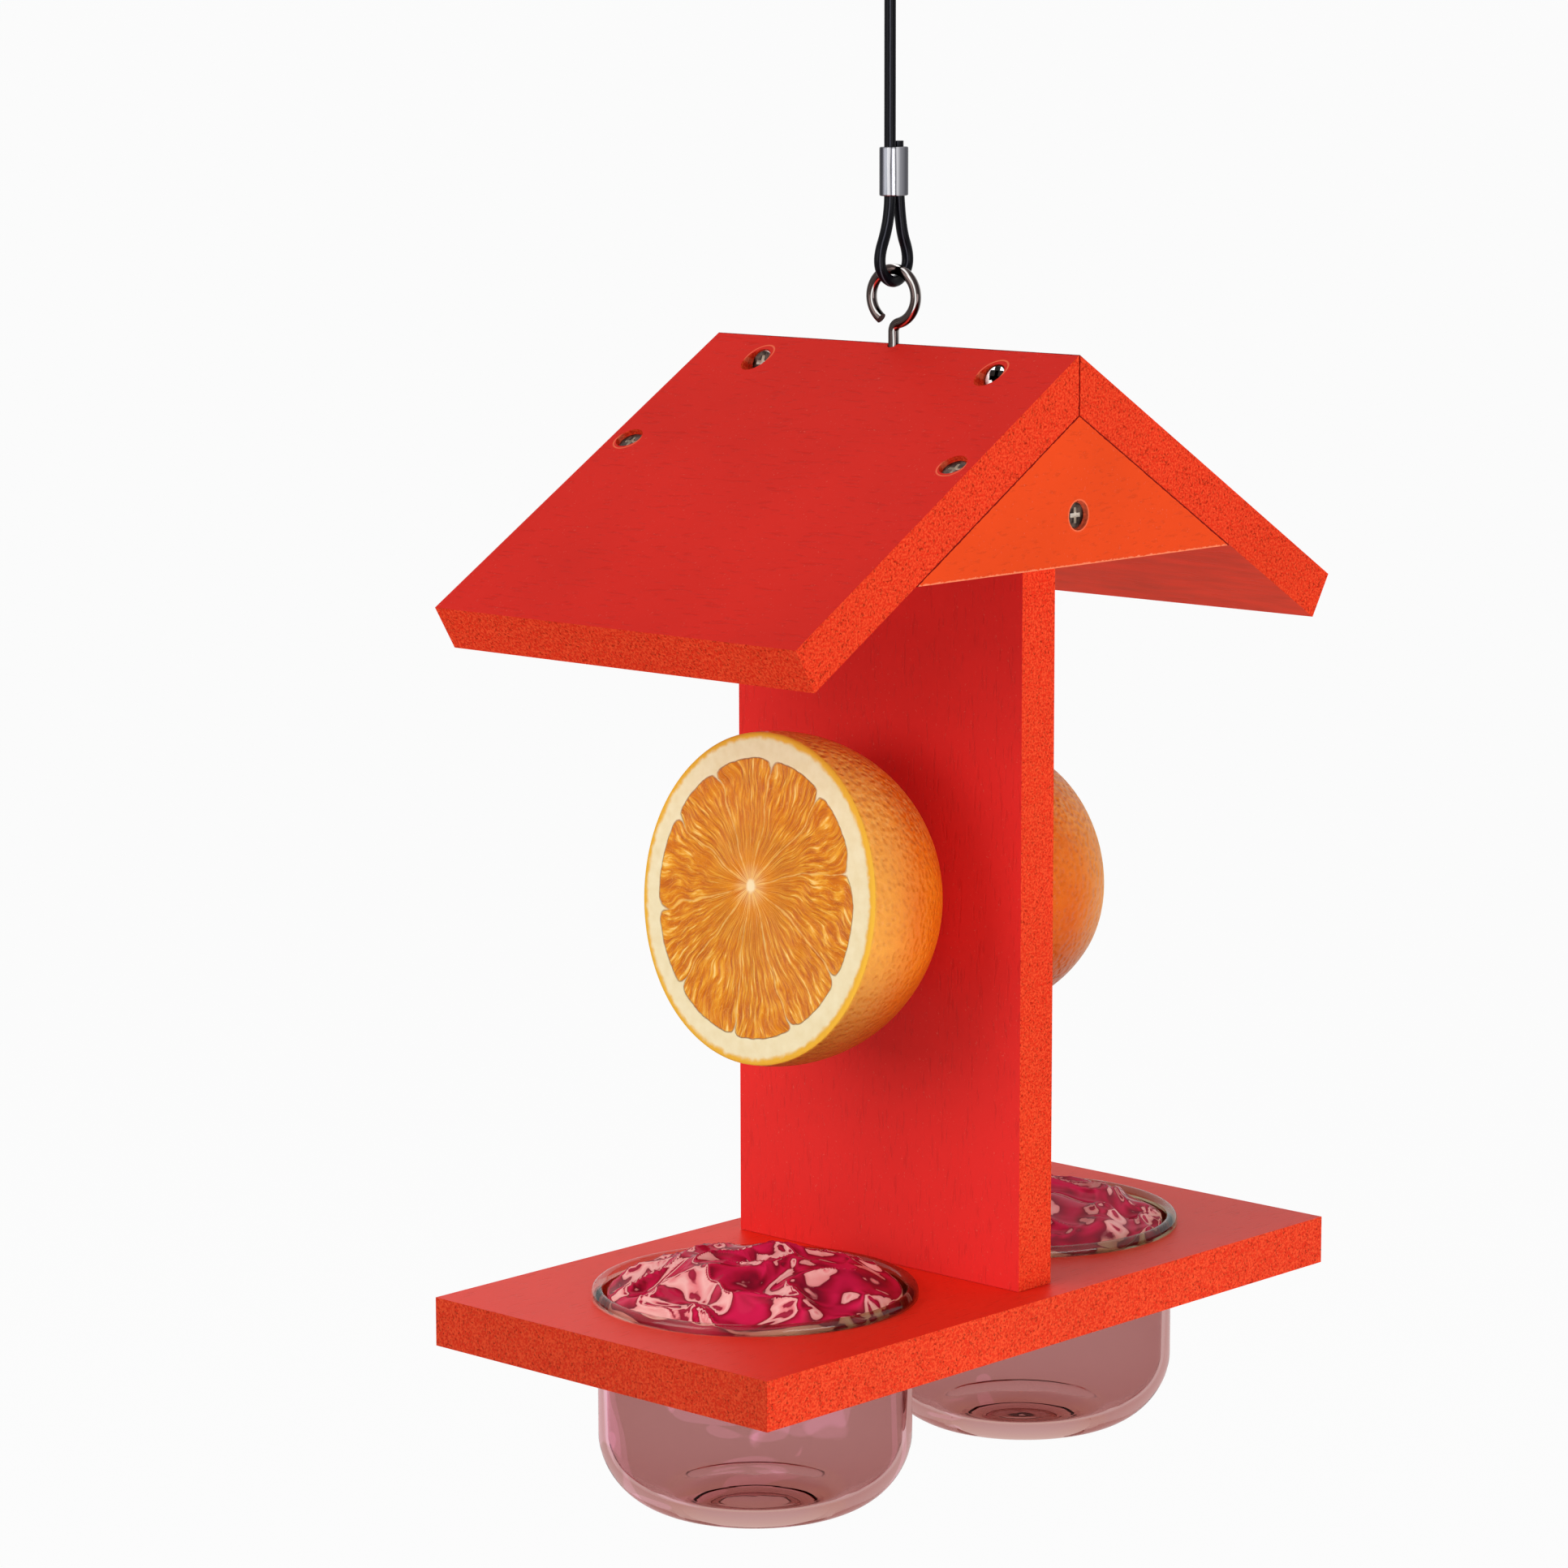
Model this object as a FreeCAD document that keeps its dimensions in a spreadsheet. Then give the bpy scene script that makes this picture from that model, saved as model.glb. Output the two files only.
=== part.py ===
"""Hanging feeder for orioles: a roofed board house with two glass cups of jelly and two oranges.

The house is of boards screwed together and hangs by a screw eye and a looped cable. The cups
stand by their rims in the base board, and a spike through the post holds half an orange on
each side.

Frame: origin where a hook bears inside the top cable loop, +Z up, +X along the base board,
+Y along the ridge. Sizes are in millimetres and degrees.
"""
import FreeCAD, Part
import math
import os

import Sketcher

SIZES = {
    # Boards
    "board_thickness": 12.7,
    "base_length": 221.0,
    "base_width": 116.0,
    "post_width": 98.0,
    "joint_gap": 0.1,
    # Roof, with the ridge's height above the top face of the base board
    "ridge_height": 240.5,
    "roof_pitch": 31.5,
    "roof_slope_length": 122.0,
    "gable_height": 37.5,
    # Glass cups, which fill the base board's length between its ends and the post
    "cup_end_land": 16.6,
    "cup_post_land": 5.75,
    "cup_hole_clearance": 0.5,
    "cup_depth": 55.0,
    "cup_wall": 2.4,
    "cup_floor": 4.6,
    "cup_side_depth": 36.0,
    "cup_shoulder_radius": 15.0,
    "cup_foot_inset": 19.9,
    "cup_foot_land": 2.0,
    "cup_punt_rise": 2.4,
    "cup_rim_overhang": 1.6,
    "cup_rim_width": 3.2,
    "cup_rim_height": 2.8,
    # Jelly heaped in the cups
    "jelly_gap": 0.15,
    "jelly_edge_height": 0.8,
    "jelly_heap": 8.2,
    "jelly_wave_height": 1.6,
    "jelly_wave_length": 27.0,
    # Screws; the gable's one stands above the gable's lower edge
    "screw_head_radius": 3.5,
    "screw_head_rim": 0.8,
    "screw_head_cone": 1.8,
    "screw_shank_radius": 1.75,
    "screw_tip": 4.0,
    "screw_recess": 1.1,
    "ridge_screw_recess": 2.6,
    "screw_clearance": 0.25,
    "cross_width": 1.1,
    "cross_length": 4.0,
    "cross_depth": 1.5,
    "roof_screw_length": 25.0,
    "roof_screw_drop": 47.5,
    "ridge_screw_drop": 10.7,
    "ridge_screw_inset": 21.8,
    "ridge_screw_tilt": 21.0,
    "frame_screw_length": 32.0,
    "gable_screw_height": 12.5,
    "base_screw_inset": 18.0,
    # Spike, and the oranges' middles, cuts and flats, where the peel is pressed on the post
    "spike_radius": 1.6,
    "spike_reach": 27.0,
    "spike_point": 6.0,
    "spike_clearance": 0.3,
    "spike_height": 100.3,
    "fruit_gap": 0.3,
    "orange_left_radius": 42.7,
    "orange_left_flat": 4.7,
    "orange_left_cut_offset": 6.7,
    "orange_left_across": 0.5,
    "orange_left_rise": 1.5,
    "orange_left_tilt": 7.0,
    "orange_left_turn": 3.5,
    "orange_right_radius": 36.3,
    "orange_right_flat": 5.2,
    "orange_right_cut_offset": 16.0,
    "orange_right_across": 5.5,
    "orange_right_rise": -4.3,
    "orange_right_tilt": 2.0,
    "orange_right_turn": 1.0,
    # Screw eye
    "eye_wire_radius": 1.4,
    "eye_ring_radius": 6.95,
    "eye_rise": 12.0,
    "eye_elbow_radius": 2.2,
    "eye_opening": 3.9,
    "eye_shank_length": 34.0,
    "eye_clearance": 0.2,
    "eye_turn": 6.0,
    # Cable and ferrules
    "hang_height": 365.0,
    "cable_radius": 1.5,
    "strand_spacing": 3.4,
    "ferrule_height": 12.4,
    "ferrule_wall": 1.05,
    "ferrule_clearance": 0.15,
    "ferrule_edge": 0.4,
    "upper_ferrule_drop": 32.8,
    "lower_ferrule_drop": 86.9,
}

# The cable's route in its own plane: across, then along +Z. It starts at the upper cut end,
# goes round the top loop, down the straight part, round the screw eye and up to the lower cut end.
CABLE_ROUTE = [
    (1.7, -34.3), (1.7, -14.4), (7.8, -2.7), (0.0, 2.8), (-7.8, -2.7), (-1.7, -14.4),
    (-1.7, -92.9), (-7.8, -104.5), (0.0, -110.1), (7.8, -104.5), (1.7, -92.9), (1.7, -73.0),
]

# Share of the shorter run that a bend takes
BEND_SHARE = 0.45

# Points each way through which the top of the jelly passes
JELLY_POINTS = 15

doc = FreeCAD.newDocument("oriole_feeder")
sheet = doc.addObject("Spreadsheet::Sheet", "sizes")
for row, (alias, number) in enumerate(SIZES.items(), start=1):
    sheet.set(f"A{row}", alias)
    sheet.set(f"B{row}", str(number))
    sheet.setAlias(f"B{row}", alias)
doc.recompute()

# Derived sizes, as expressions on the sheet
HALF_THICK = "sizes.board_thickness / 2"
BASE_TOP = "(-sizes.hang_height)"
BASE_BOTTOM = f"({BASE_TOP} - sizes.board_thickness)"
RIDGE = f"({BASE_TOP} + sizes.ridge_height)"
SEAM_DROP = "sizes.joint_gap / cos(sizes.roof_pitch)"
# Height of the ridge inside the roof, above the base board
INNER_RIDGE = "(sizes.ridge_height - sizes.board_thickness / cos(sizes.roof_pitch))"
GABLE_FACE = "(sizes.post_width / 2 + sizes.joint_gap + sizes.board_thickness)"
ROOF_DEPTH = f"(2 * {GABLE_FACE})"
# Heights above the base board of the gable's peak, which is also the post's, and its lower edge
PEAK = f"({INNER_RIDGE} - {SEAM_DROP})"
GABLE_BOTTOM = f"({PEAK} - sizes.gable_height)"
# The room for a cup's hole is what the lands leave of half the base board
CUP_ROOM_START = f"({HALF_THICK} + sizes.cup_post_land)"
CUP_HOLE = f"((sizes.base_length / 2 - {CUP_ROOM_START} - sizes.cup_end_land) / 2)"
CUP_CENTRE = f"({CUP_ROOM_START} + {CUP_HOLE})"
CUP_RADIUS = f"({CUP_HOLE} - sizes.cup_hole_clearance)"
CUP_FOOT = f"({CUP_RADIUS} - sizes.cup_foot_inset)"
CUP_RIM = f"({CUP_RADIUS} + sizes.cup_rim_overhang)"

SUB_PARTS = []


def value(text):
    """The number that an expression on the sheet gives."""
    return float(sheet.evalExpression(text))


def place(obj, x="0", y="0", z="0", axis=(0, 0, 1), angle="0"):
    """Binds an object's Placement to the sheet."""
    turn = f"rotation(vector({axis[0]}; {axis[1]}; {axis[2]}); {angle})"
    obj.setExpression("Placement", f"placement(vector({x}; {y}; {z}); {turn})")


def sub_part(obj, label):
    """Names an object as a piece of the feeder."""
    obj.Label = label
    SUB_PARTS.append(obj)
    return obj


def new_sketch(body, name, role):
    """A sketch on one of the body's own origin planes."""
    sketch = body.newObject("Sketcher::SketchObject", name)
    plane = next(f for f in body.Origin.OriginFeatures if f.Role == role)
    sketch.AttachmentSupport = [(plane, "")]
    sketch.MapMode = "FlatFace"
    return sketch


def fix(sketch, geometry, point, x=None, y=None):
    """Binds a sketch point's distances from the sketch's origin."""
    for direction, text in (("DistanceX", x), ("DistanceY", y)):
        if text is not None:
            rule = Sketcher.Constraint(direction, -1, 1, geometry, point, value(text))
            sketch.setExpression(f"Constraints[{sketch.addConstraint(rule)}]", text)


def bind_radius(sketch, geometry, text):
    rule = Sketcher.Constraint("Radius", geometry, value(text))
    sketch.setExpression(f"Constraints[{sketch.addConstraint(rule)}]", text)


def outline(sketch, corners):
    """A closed outline of straight edges through corners, each a pair of expressions."""
    start = sketch.GeometryCount
    spots = [FreeCAD.Vector(value(x), value(y), 0) for x, y in corners]
    for i, spot in enumerate(spots):
        sketch.addGeometry(Part.LineSegment(spot, spots[(i + 1) % len(spots)]), False)
    for i, (x, y) in enumerate(corners):
        following = start + (i + 1) % len(corners)
        sketch.addConstraint(Sketcher.Constraint("Coincident", start + i, 2, following, 1))
        fix(sketch, start + i, 1, x, y)


def circle(sketch, x, y, radius):
    centre = FreeCAD.Vector(value(x), value(y), 0)
    added = sketch.addGeometry(Part.Circle(centre, FreeCAD.Vector(0, 0, 1), value(radius)), False)
    fix(sketch, added, 3, x, y)
    bind_radius(sketch, added, radius)


def pad(body, sketch, length, midplane=False, downward=False):
    feature = body.newObject("PartDesign::Pad", f"{body.Name}_pad")
    feature.Profile = sketch
    feature.setExpression("Length", length)
    feature.Midplane = midplane
    feature.Reversed = downward
    return feature


def revolve(body, sketch):
    """Turns a sketch on the XZ plane round the body's Z axis."""
    feature = body.newObject("PartDesign::Revolution", f"{body.Name}_turned")
    feature.Profile = sketch
    feature.ReferenceAxis = (sketch, ["V_Axis"])
    feature.Angle = 360
    return feature


def cylinder(name, radius, length, bottom="0"):
    shape = doc.addObject("Part::Cylinder", name)
    shape.setExpression("Radius", radius)
    shape.setExpression("Height", length)
    place(shape, z=bottom)
    return shape


def joined(name, shapes):
    fused = doc.addObject("Part::MultiFuse", name)
    fused.Shapes = shapes
    return fused


def drilled(blank, tools, label):
    """The blank with holes where the tools are."""
    cut = doc.addObject("Part::Cut", f"{label}_drilled")
    cut.Base = blank
    cut.Tool = joined(f"{label}_holes", tools) if len(tools) > 1 else tools[0]
    return sub_part(cut, label)


# Screws, each with the space that it takes in the boards


def screw_body(name, length, head_depth):
    """A countersunk cross-head screw, with the board's face at z = 0."""
    body = doc.addObject("PartDesign::Body", name)
    top = f"-{head_depth}"
    rim = f"{top} - sizes.screw_head_rim"
    neck = f"{rim} - sizes.screw_head_cone"
    tip = f"{top} - {length}"
    bevel = "sizes.screw_head_rim / 2"
    profile = new_sketch(body, f"{name}_profile", "XZ_Plane")
    outline(profile, [
        ("0", top),
        (f"sizes.screw_head_radius - {bevel}", top),
        ("sizes.screw_head_radius", f"{top} - {bevel}"),
        ("sizes.screw_head_radius", rim),
        ("sizes.screw_shank_radius", neck),
        ("sizes.screw_shank_radius", f"{tip} + sizes.screw_tip"),
        ("0", tip),
    ])
    turned = revolve(body, profile)
    doc.recompute()
    whole = turned.Shape.Volume
    cross = new_sketch(body, f"{name}_cross", "XY_Plane")
    cross.setExpression("AttachmentOffset.Base.z", top)
    near, far = "sizes.cross_width / 2", "sizes.cross_length / 2"
    quarter = [(far, near), (near, near), (near, far)]
    turns = [("", ""), ("-", ""), ("-", "-"), ("", "-")]
    corners = []
    for count, (sign_x, sign_y) in enumerate(turns):
        ordered = quarter if count % 2 == 0 else quarter[::-1]
        corners += [(f"{sign_x}{x}", f"{sign_y}{y}") for x, y in ordered]
    outline(cross, corners)
    recess = body.newObject("PartDesign::Pocket", f"{name}_recess")
    recess.Profile = cross
    recess.setExpression("Length", "sizes.cross_depth")
    doc.recompute()
    if not recess.Shape.Volume < whole:
        raise RuntimeError(f"{name}: the cross recess cuts nothing")
    return body


def screw_space(name, length, head_depth):
    """Counterbore, seat and pilot hole for a screw, a clearance larger all round."""
    seat = f"-({head_depth} + sizes.screw_head_rim + sizes.screw_head_cone)"
    head = "sizes.screw_head_radius + sizes.screw_clearance"
    shank = "sizes.screw_shank_radius + sizes.screw_clearance"
    rim = f"-({head_depth} + sizes.screw_head_rim + sizes.screw_clearance)"
    bore = cylinder(f"{name}_bore", head, f"2 * {head_depth} - ({rim})", rim)
    cone = doc.addObject("Part::Cone", f"{name}_seat")
    cone.setExpression("Radius1", shank)
    cone.setExpression("Radius2", head)
    cone.setExpression("Height", "sizes.screw_head_cone")
    place(cone, z=f"{seat} - sizes.screw_clearance")
    depth = f"{head_depth} + {length} + sizes.screw_clearance"
    pilot = cylinder(f"{name}_pilot", shank, f"{depth} + {rim}", f"-({depth})")
    return joined(f"{name}_space", [bore, cone, pilot])


def slope_spot(side, drop):
    """A place on the roof's outer face, a distance down the slope from the ridge."""
    across = f"{side} * {drop} * cos(sizes.roof_pitch)"
    return across, f"{RIDGE} - {drop} * sin(sizes.roof_pitch)"


SPACES = {}


def add_screw(label, length, x, y, z, axis, angle, head_depth="sizes.screw_recess"):
    body = screw_body(f"{label}_body", length, head_depth)
    place(body, x, y, z, axis, angle)
    sub_part(body, label)
    space = screw_space(label, length, head_depth)
    place(space, x, y, z, axis, angle)
    SPACES[label] = space


ROOF_SIDES = (("left", -1), ("right", 1))
ENDS = (("front", -1), ("back", 1))

gable_middle = f"({GABLE_FACE} - {HALF_THICK})"
for end, sign in ENDS:
    for side, across in ROOF_SIDES:
        x, z = slope_spot(across, "sizes.roof_screw_drop")
        add_screw(
            f"roof_screw_{side}_{end}", "sizes.roof_screw_length",
            x, f"{sign} * {gable_middle}", z, (0, 1, 0), f"{across} * sizes.roof_pitch",
        )
    x, z = slope_spot(-1, "sizes.ridge_screw_drop")
    add_screw(
        f"ridge_screw_{end}", "sizes.roof_screw_length",
        x, f"{sign} * ({GABLE_FACE} - sizes.ridge_screw_inset)", z,
        (0, 1, 0), "sizes.ridge_screw_tilt - 90", "sizes.ridge_screw_recess",
    )
    add_screw(
        f"gable_screw_{end}", "sizes.frame_screw_length",
        "0", f"{sign} * {GABLE_FACE}", f"{BASE_TOP} + {GABLE_BOTTOM} + sizes.gable_screw_height",
        (1, 0, 0), f"{-sign} * 90",
    )
    add_screw(
        f"base_screw_{end}", "sizes.frame_screw_length",
        "0", f"{sign} * (sizes.post_width / 2 - sizes.base_screw_inset)", BASE_BOTTOM,
        (1, 0, 0), "180",
    )

# Screw eye: one bent wire, its ring in the plane of the ridge before eye_turn


def eye_screw():
    body = doc.addObject("PartDesign::Body", "eye_body")
    path = new_sketch(body, "eye_path", "YZ_Plane")
    ring, elbow = value("sizes.eye_ring_radius"), value("sizes.eye_elbow_radius")
    lean = math.acos(elbow / (ring + elbow))
    bend = FreeCAD.Vector(-elbow, -(ring + elbow) * math.sin(lean), 0)
    bottom = FreeCAD.Vector(0, bend.y - value("sizes.eye_shank_length"), 0)
    flat = FreeCAD.Vector(0, 0, 1)
    ring_end = math.pi + math.acos(value("sizes.eye_opening") / ring)
    path.addGeometry(Part.LineSegment(bottom, FreeCAD.Vector(0, bend.y, 0)), False)
    path.addGeometry(Part.ArcOfCircle(Part.Circle(bend, flat, elbow), 0, lean), False)
    loop = Part.Circle(FreeCAD.Vector(0, 0, 0), flat, ring)
    path.addGeometry(Part.ArcOfCircle(loop, math.pi - ring_end, math.pi + lean), False)
    fix(path, 0, 1, "0", None)
    path.addConstraint(Sketcher.Constraint("Vertical", 0))
    path.addConstraint(Sketcher.Constraint("Tangent", 0, 2, 1, 1))
    path.addConstraint(Sketcher.Constraint("Tangent", 1, 2, 2, 2))
    bind_radius(path, 1, "sizes.eye_elbow_radius")
    bind_radius(path, 2, "sizes.eye_ring_radius")
    fix(path, 2, 3, "0", "0")
    fix(path, 2, 1, "sizes.eye_opening", None)
    length = Sketcher.Constraint("DistanceY", 0, 1, 0, 2, value("sizes.eye_shank_length"))
    path.setExpression(f"Constraints[{path.addConstraint(length)}]", "sizes.eye_shank_length")
    doc.recompute()
    wire = new_sketch(body, "eye_wire", "XY_Plane")
    wire.setExpression("AttachmentOffset.Base.z", "eye_path.Geometry[0].StartPoint.y")
    circle(wire, "0", "0", "sizes.eye_wire_radius")
    bent = body.newObject("PartDesign::AdditivePipe", "eye_bent")
    bent.Profile = wire
    bent.Spine = (path, [])
    place(body, z=f"{RIDGE} + sizes.eye_rise", angle="sizes.eye_turn")
    return sub_part(body, "eye_screw")


eye_screw()
eye_hole = cylinder(
    "eye_hole", "sizes.eye_wire_radius + sizes.eye_clearance",
    "sizes.eye_shank_length + sizes.eye_ring_radius + sizes.eye_elbow_radius",
    f"{RIDGE} + sizes.eye_rise + eye_path.Geometry[0].StartPoint.y - sizes.eye_clearance",
)

# Boards


def board(name, role, corners, thickness, downward=False):
    """A board of a given outline. On the XZ plane it runs along Y, evenly to both sides."""
    body = doc.addObject("PartDesign::Body", name)
    shape = new_sketch(body, f"{name}_outline", role)
    outline(shape, corners)
    pad(body, shape, thickness, midplane=role == "XZ_Plane", downward=downward)
    return body, shape


def base_board():
    x, y = "sizes.base_length / 2", "sizes.base_width / 2"
    corners = [(x, y), (f"-{x}", y), (f"-{x}", f"-{y}"), (x, f"-{y}")]
    body, shape = board("base", "XY_Plane", corners, "sizes.board_thickness", downward=True)
    for side, sign in ROOF_SIDES:
        circle(shape, f"{sign} * {CUP_CENTRE}", "0", CUP_HOLE)
    place(body, z=BASE_TOP)
    return drilled(body, [SPACES[f"base_screw_{end}"] for end, sign in ENDS], "base_board")


def post():
    """The upright board, with its top cut to the roof's pitch."""
    shoulder = f"{PEAK} - {HALF_THICK} * tan(sizes.roof_pitch)"
    corners = [
        (f"-{HALF_THICK}", "sizes.joint_gap"), (HALF_THICK, "sizes.joint_gap"),
        (HALF_THICK, shoulder), ("0", PEAK), (f"-{HALF_THICK}", shoulder),
    ]
    body, shape = board("upright", "XZ_Plane", corners, "sizes.post_width")
    place(body, z=BASE_TOP)
    spike_hole = cylinder(
        "spike_hole", "sizes.spike_radius + sizes.joint_gap", "2 * sizes.board_thickness",
    )
    place(spike_hole, "-sizes.board_thickness", "0", f"{BASE_TOP} + sizes.spike_height",
          (0, 1, 0), "90")
    tools = [SPACES[f"{kind}_screw_{end}"] for kind in ("gable", "base") for end, sign in ENDS]
    return drilled(body, tools + [eye_hole, spike_hole], "post")


def gable(end, sign):
    """The triangle that closes an end of the roof."""
    reach = "sizes.gable_height / tan(sizes.roof_pitch)"
    corners = [(f"-{reach}", GABLE_BOTTOM), (reach, GABLE_BOTTOM), ("0", PEAK)]
    body, shape = board(f"triangle_{end}", "XZ_Plane", corners, "sizes.board_thickness")
    place(body, y=f"{sign} * {gable_middle}", z=BASE_TOP)
    tools = [SPACES[f"gable_screw_{end}"]]
    tools += [SPACES[f"roof_screw_{side}_{end}"] for side, across in ROOF_SIDES]
    return drilled(body, tools, f"gable_{end}")


def roof_board(side, across):
    """A sloping board, cut upright at the ridge and square at the eave."""
    mitre = "sizes.joint_gap / 2"
    eave_x = "sizes.roof_slope_length * cos(sizes.roof_pitch)"
    eave_z = "-sizes.roof_slope_length * sin(sizes.roof_pitch)"
    thick = "sizes.board_thickness"
    corners = [
        (f"{across} * {mitre}", f"-{mitre} * tan(sizes.roof_pitch)"),
        (f"{across} * {eave_x}", eave_z),
        (f"{across} * ({eave_x} - {thick} * sin(sizes.roof_pitch))",
         f"{eave_z} - {thick} * cos(sizes.roof_pitch)"),
        (f"{across} * {mitre}",
         f"-{mitre} * tan(sizes.roof_pitch) - {thick} / cos(sizes.roof_pitch)"),
    ]
    body, shape = board(f"slope_{side}", "XZ_Plane", corners, ROOF_DEPTH)
    place(body, z=RIDGE)
    tools = [SPACES[f"ridge_screw_{end}"] for end, sign in ENDS]
    tools += [SPACES[f"roof_screw_{side}_{end}"] for end, sign in ENDS]
    return drilled(body, tools + [eye_hole], f"roof_board_{side}")


base_board()
post()
for end, sign in ENDS:
    gable(end, sign)
for side, across in ROOF_SIDES:
    roof_board(side, across)

# Glass cups, which hang by their rims in the base board's holes


def at(x, y):
    return FreeCAD.Vector(value(x), value(y), 0)


def angle_at(centre, spot):
    return math.atan2(spot.y - centre.y, spot.x - centre.x)


def curved_outline(sketch, corners):
    """A closed outline of straight edges and arcs.

    A corner is its place, the expressions that hold it, and, where an arc leads to the next
    corner, the arc's centre and the expressions that hold that. Edges meet smoothly at a
    corner that nothing holds.
    """
    start = sketch.GeometryCount
    numbers = []
    for i, (spot, held, centre, centre_held) in enumerate(corners):
        following = corners[(i + 1) % len(corners)][0]
        edge, order = Part.LineSegment(spot, following), (1, 2)
        if centre is not None:
            first, second = angle_at(centre, spot), angle_at(centre, following)
            if (second - first) % (2 * math.pi) > math.pi:
                first, second, order = second, first, (2, 1)
            ring = Part.Circle(centre, FreeCAD.Vector(0, 0, 1), spot.distanceToPoint(centre))
            edge = Part.ArcOfCircle(ring, first, second)
        sketch.addGeometry(edge, False)
        numbers.append(order)
    for i, (spot, held, centre, centre_held) in enumerate(corners):
        before = (i - 1) % len(corners)
        kind = "Tangent" if held is None else "Coincident"
        rule = (kind, start + before, numbers[before][1], start + i, numbers[i][0])
        sketch.addConstraint(Sketcher.Constraint(*rule))
        if held is not None:
            fix(sketch, start + i, numbers[i][0], *held)
        if centre_held is not None:
            fix(sketch, start + i, 3, *centre_held)


def straight(x, y):
    """A held corner with a straight edge after it."""
    return at(x, y), (x, y), None, None


def rounded(x, y, centre_x, centre_y, guess_x=None, guess_y=None):
    """A held corner with an arc after it. One coordinate of the centre may follow by itself."""
    centre = at(centre_x or guess_x, centre_y or guess_y)
    return at(x, y), (x, y), centre, (centre_x, centre_y)


def shoulder(radius, floor):
    """Where a cup's round shoulder meets its flatter bottom, and the bottom's arc centre."""
    small = at(f"{CUP_RADIUS} - sizes.cup_shoulder_radius", "-sizes.cup_side_depth")
    foot = at(CUP_FOOT, floor)
    across, drop = small.x - foot.x, small.y - foot.y
    large = (across ** 2 + drop ** 2 - radius ** 2) / (2 * (drop - radius))
    centre = FreeCAD.Vector(foot.x, foot.y + large, 0)
    meeting = small + (small - centre).normalize() * radius
    return small, centre, meeting


def dish_centre(edge_x, edge_y, rise):
    """Height of the centre of an arc that is level at the axis."""
    reach, lift = value(edge_x), value(rise)
    return f"{value(edge_y) + lift - (reach ** 2 + lift ** 2) / (2 * lift)}"


def cup(label, sign):
    body = doc.addObject("PartDesign::Body", f"{label}_glass")
    side, floor = "-sizes.cup_side_depth", "-sizes.cup_depth"
    inner_floor = f"{floor} + sizes.cup_floor"
    inner = f"{CUP_RADIUS} - sizes.cup_wall"
    shoulder_x = f"{CUP_RADIUS} - sizes.cup_shoulder_radius"
    lip_y = "sizes.cup_rim_height - sizes.cup_rim_width / 2"
    lip_x = f"{CUP_RIM} - sizes.cup_rim_width / 2"
    crest, land = CUP_FOOT, f"{CUP_FOOT} - sizes.cup_foot_land"
    punt = "sizes.cup_punt_rise"
    small, inner_large, inner_meeting = shoulder(
        value("sizes.cup_shoulder_radius - sizes.cup_wall"), inner_floor,
    )
    small, outer_large, outer_meeting = shoulder(value("sizes.cup_shoulder_radius"), floor)
    corners = [
        # Inside, from the axis up to the lip
        rounded("0", f"{inner_floor} + {punt}", "0", None,
                guess_y=dish_centre(crest, inner_floor, punt)),
        (at(crest, inner_floor), (crest, inner_floor), inner_large, (crest, None)),
        (inner_meeting, None, small, (shoulder_x, side)),
        straight(inner, side),
        rounded(f"{CUP_RIM} - sizes.cup_rim_width", lip_y, None, lip_y, guess_x=lip_x),
        rounded(lip_x, "sizes.cup_rim_height", None, lip_y, guess_x=lip_x),
        # Outside, from the lip down to the foot and the punt
        straight(CUP_RIM, lip_y),
        straight(CUP_RIM, "sizes.joint_gap"),
        straight(CUP_RADIUS, "sizes.joint_gap"),
        (at(CUP_RADIUS, side), (CUP_RADIUS, side), small, (shoulder_x, side)),
        (outer_meeting, None, outer_large, (crest, None)),
        straight(crest, floor),
        rounded(land, floor, "0", None, guess_y=dish_centre(land, floor, punt)),
        straight("0", f"{floor} + {punt}"),
    ]
    profile = new_sketch(body, f"{label}_profile", "XZ_Plane")
    curved_outline(profile, corners)
    revolve(body, profile)
    place(body, f"{sign} * {CUP_CENTRE}", "0", BASE_TOP)
    return sub_part(body, label)


for side, sign in ROOF_SIDES:
    cup(f"cup_{side}", sign)

# Jelly, which fills each cup and stands over its rim


def jelly_air(label, sign, radius):
    """The space above the jelly's rolling top."""
    edge, heap = value("sizes.jelly_edge_height"), value("sizes.jelly_heap")
    wave, length = value("sizes.jelly_wave_height"), value("sizes.jelly_wave_length")
    reach = 1.05 * value(radius)
    steps = [reach * (2 * step / (JELLY_POINTS - 1) - 1) for step in range(JELLY_POINTS)]
    rows = []
    for x in steps:
        row = []
        for y in steps:
            fall = 1 - (x ** 2 + y ** 2) / value(radius) ** 2
            bend = 1.5 * math.sin(math.pi * y / length)
            roll = math.sin(math.tau * x / length + bend + sign) * math.cos(math.tau * y / length)
            row.append(FreeCAD.Vector(x, y, edge + fall * (heap + wave * roll)))
        rows.append(row)
    top = Part.BSplineSurface()
    top.interpolate(rows)
    air = doc.addObject("Part::Feature", f"{label}_air")
    air.Shape = top.toShape().extrude(FreeCAD.Vector(0, 0, 4 * (edge + heap + wave)))
    place(air, f"{sign} * {CUP_CENTRE}", "0", BASE_TOP)
    return air


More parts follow.
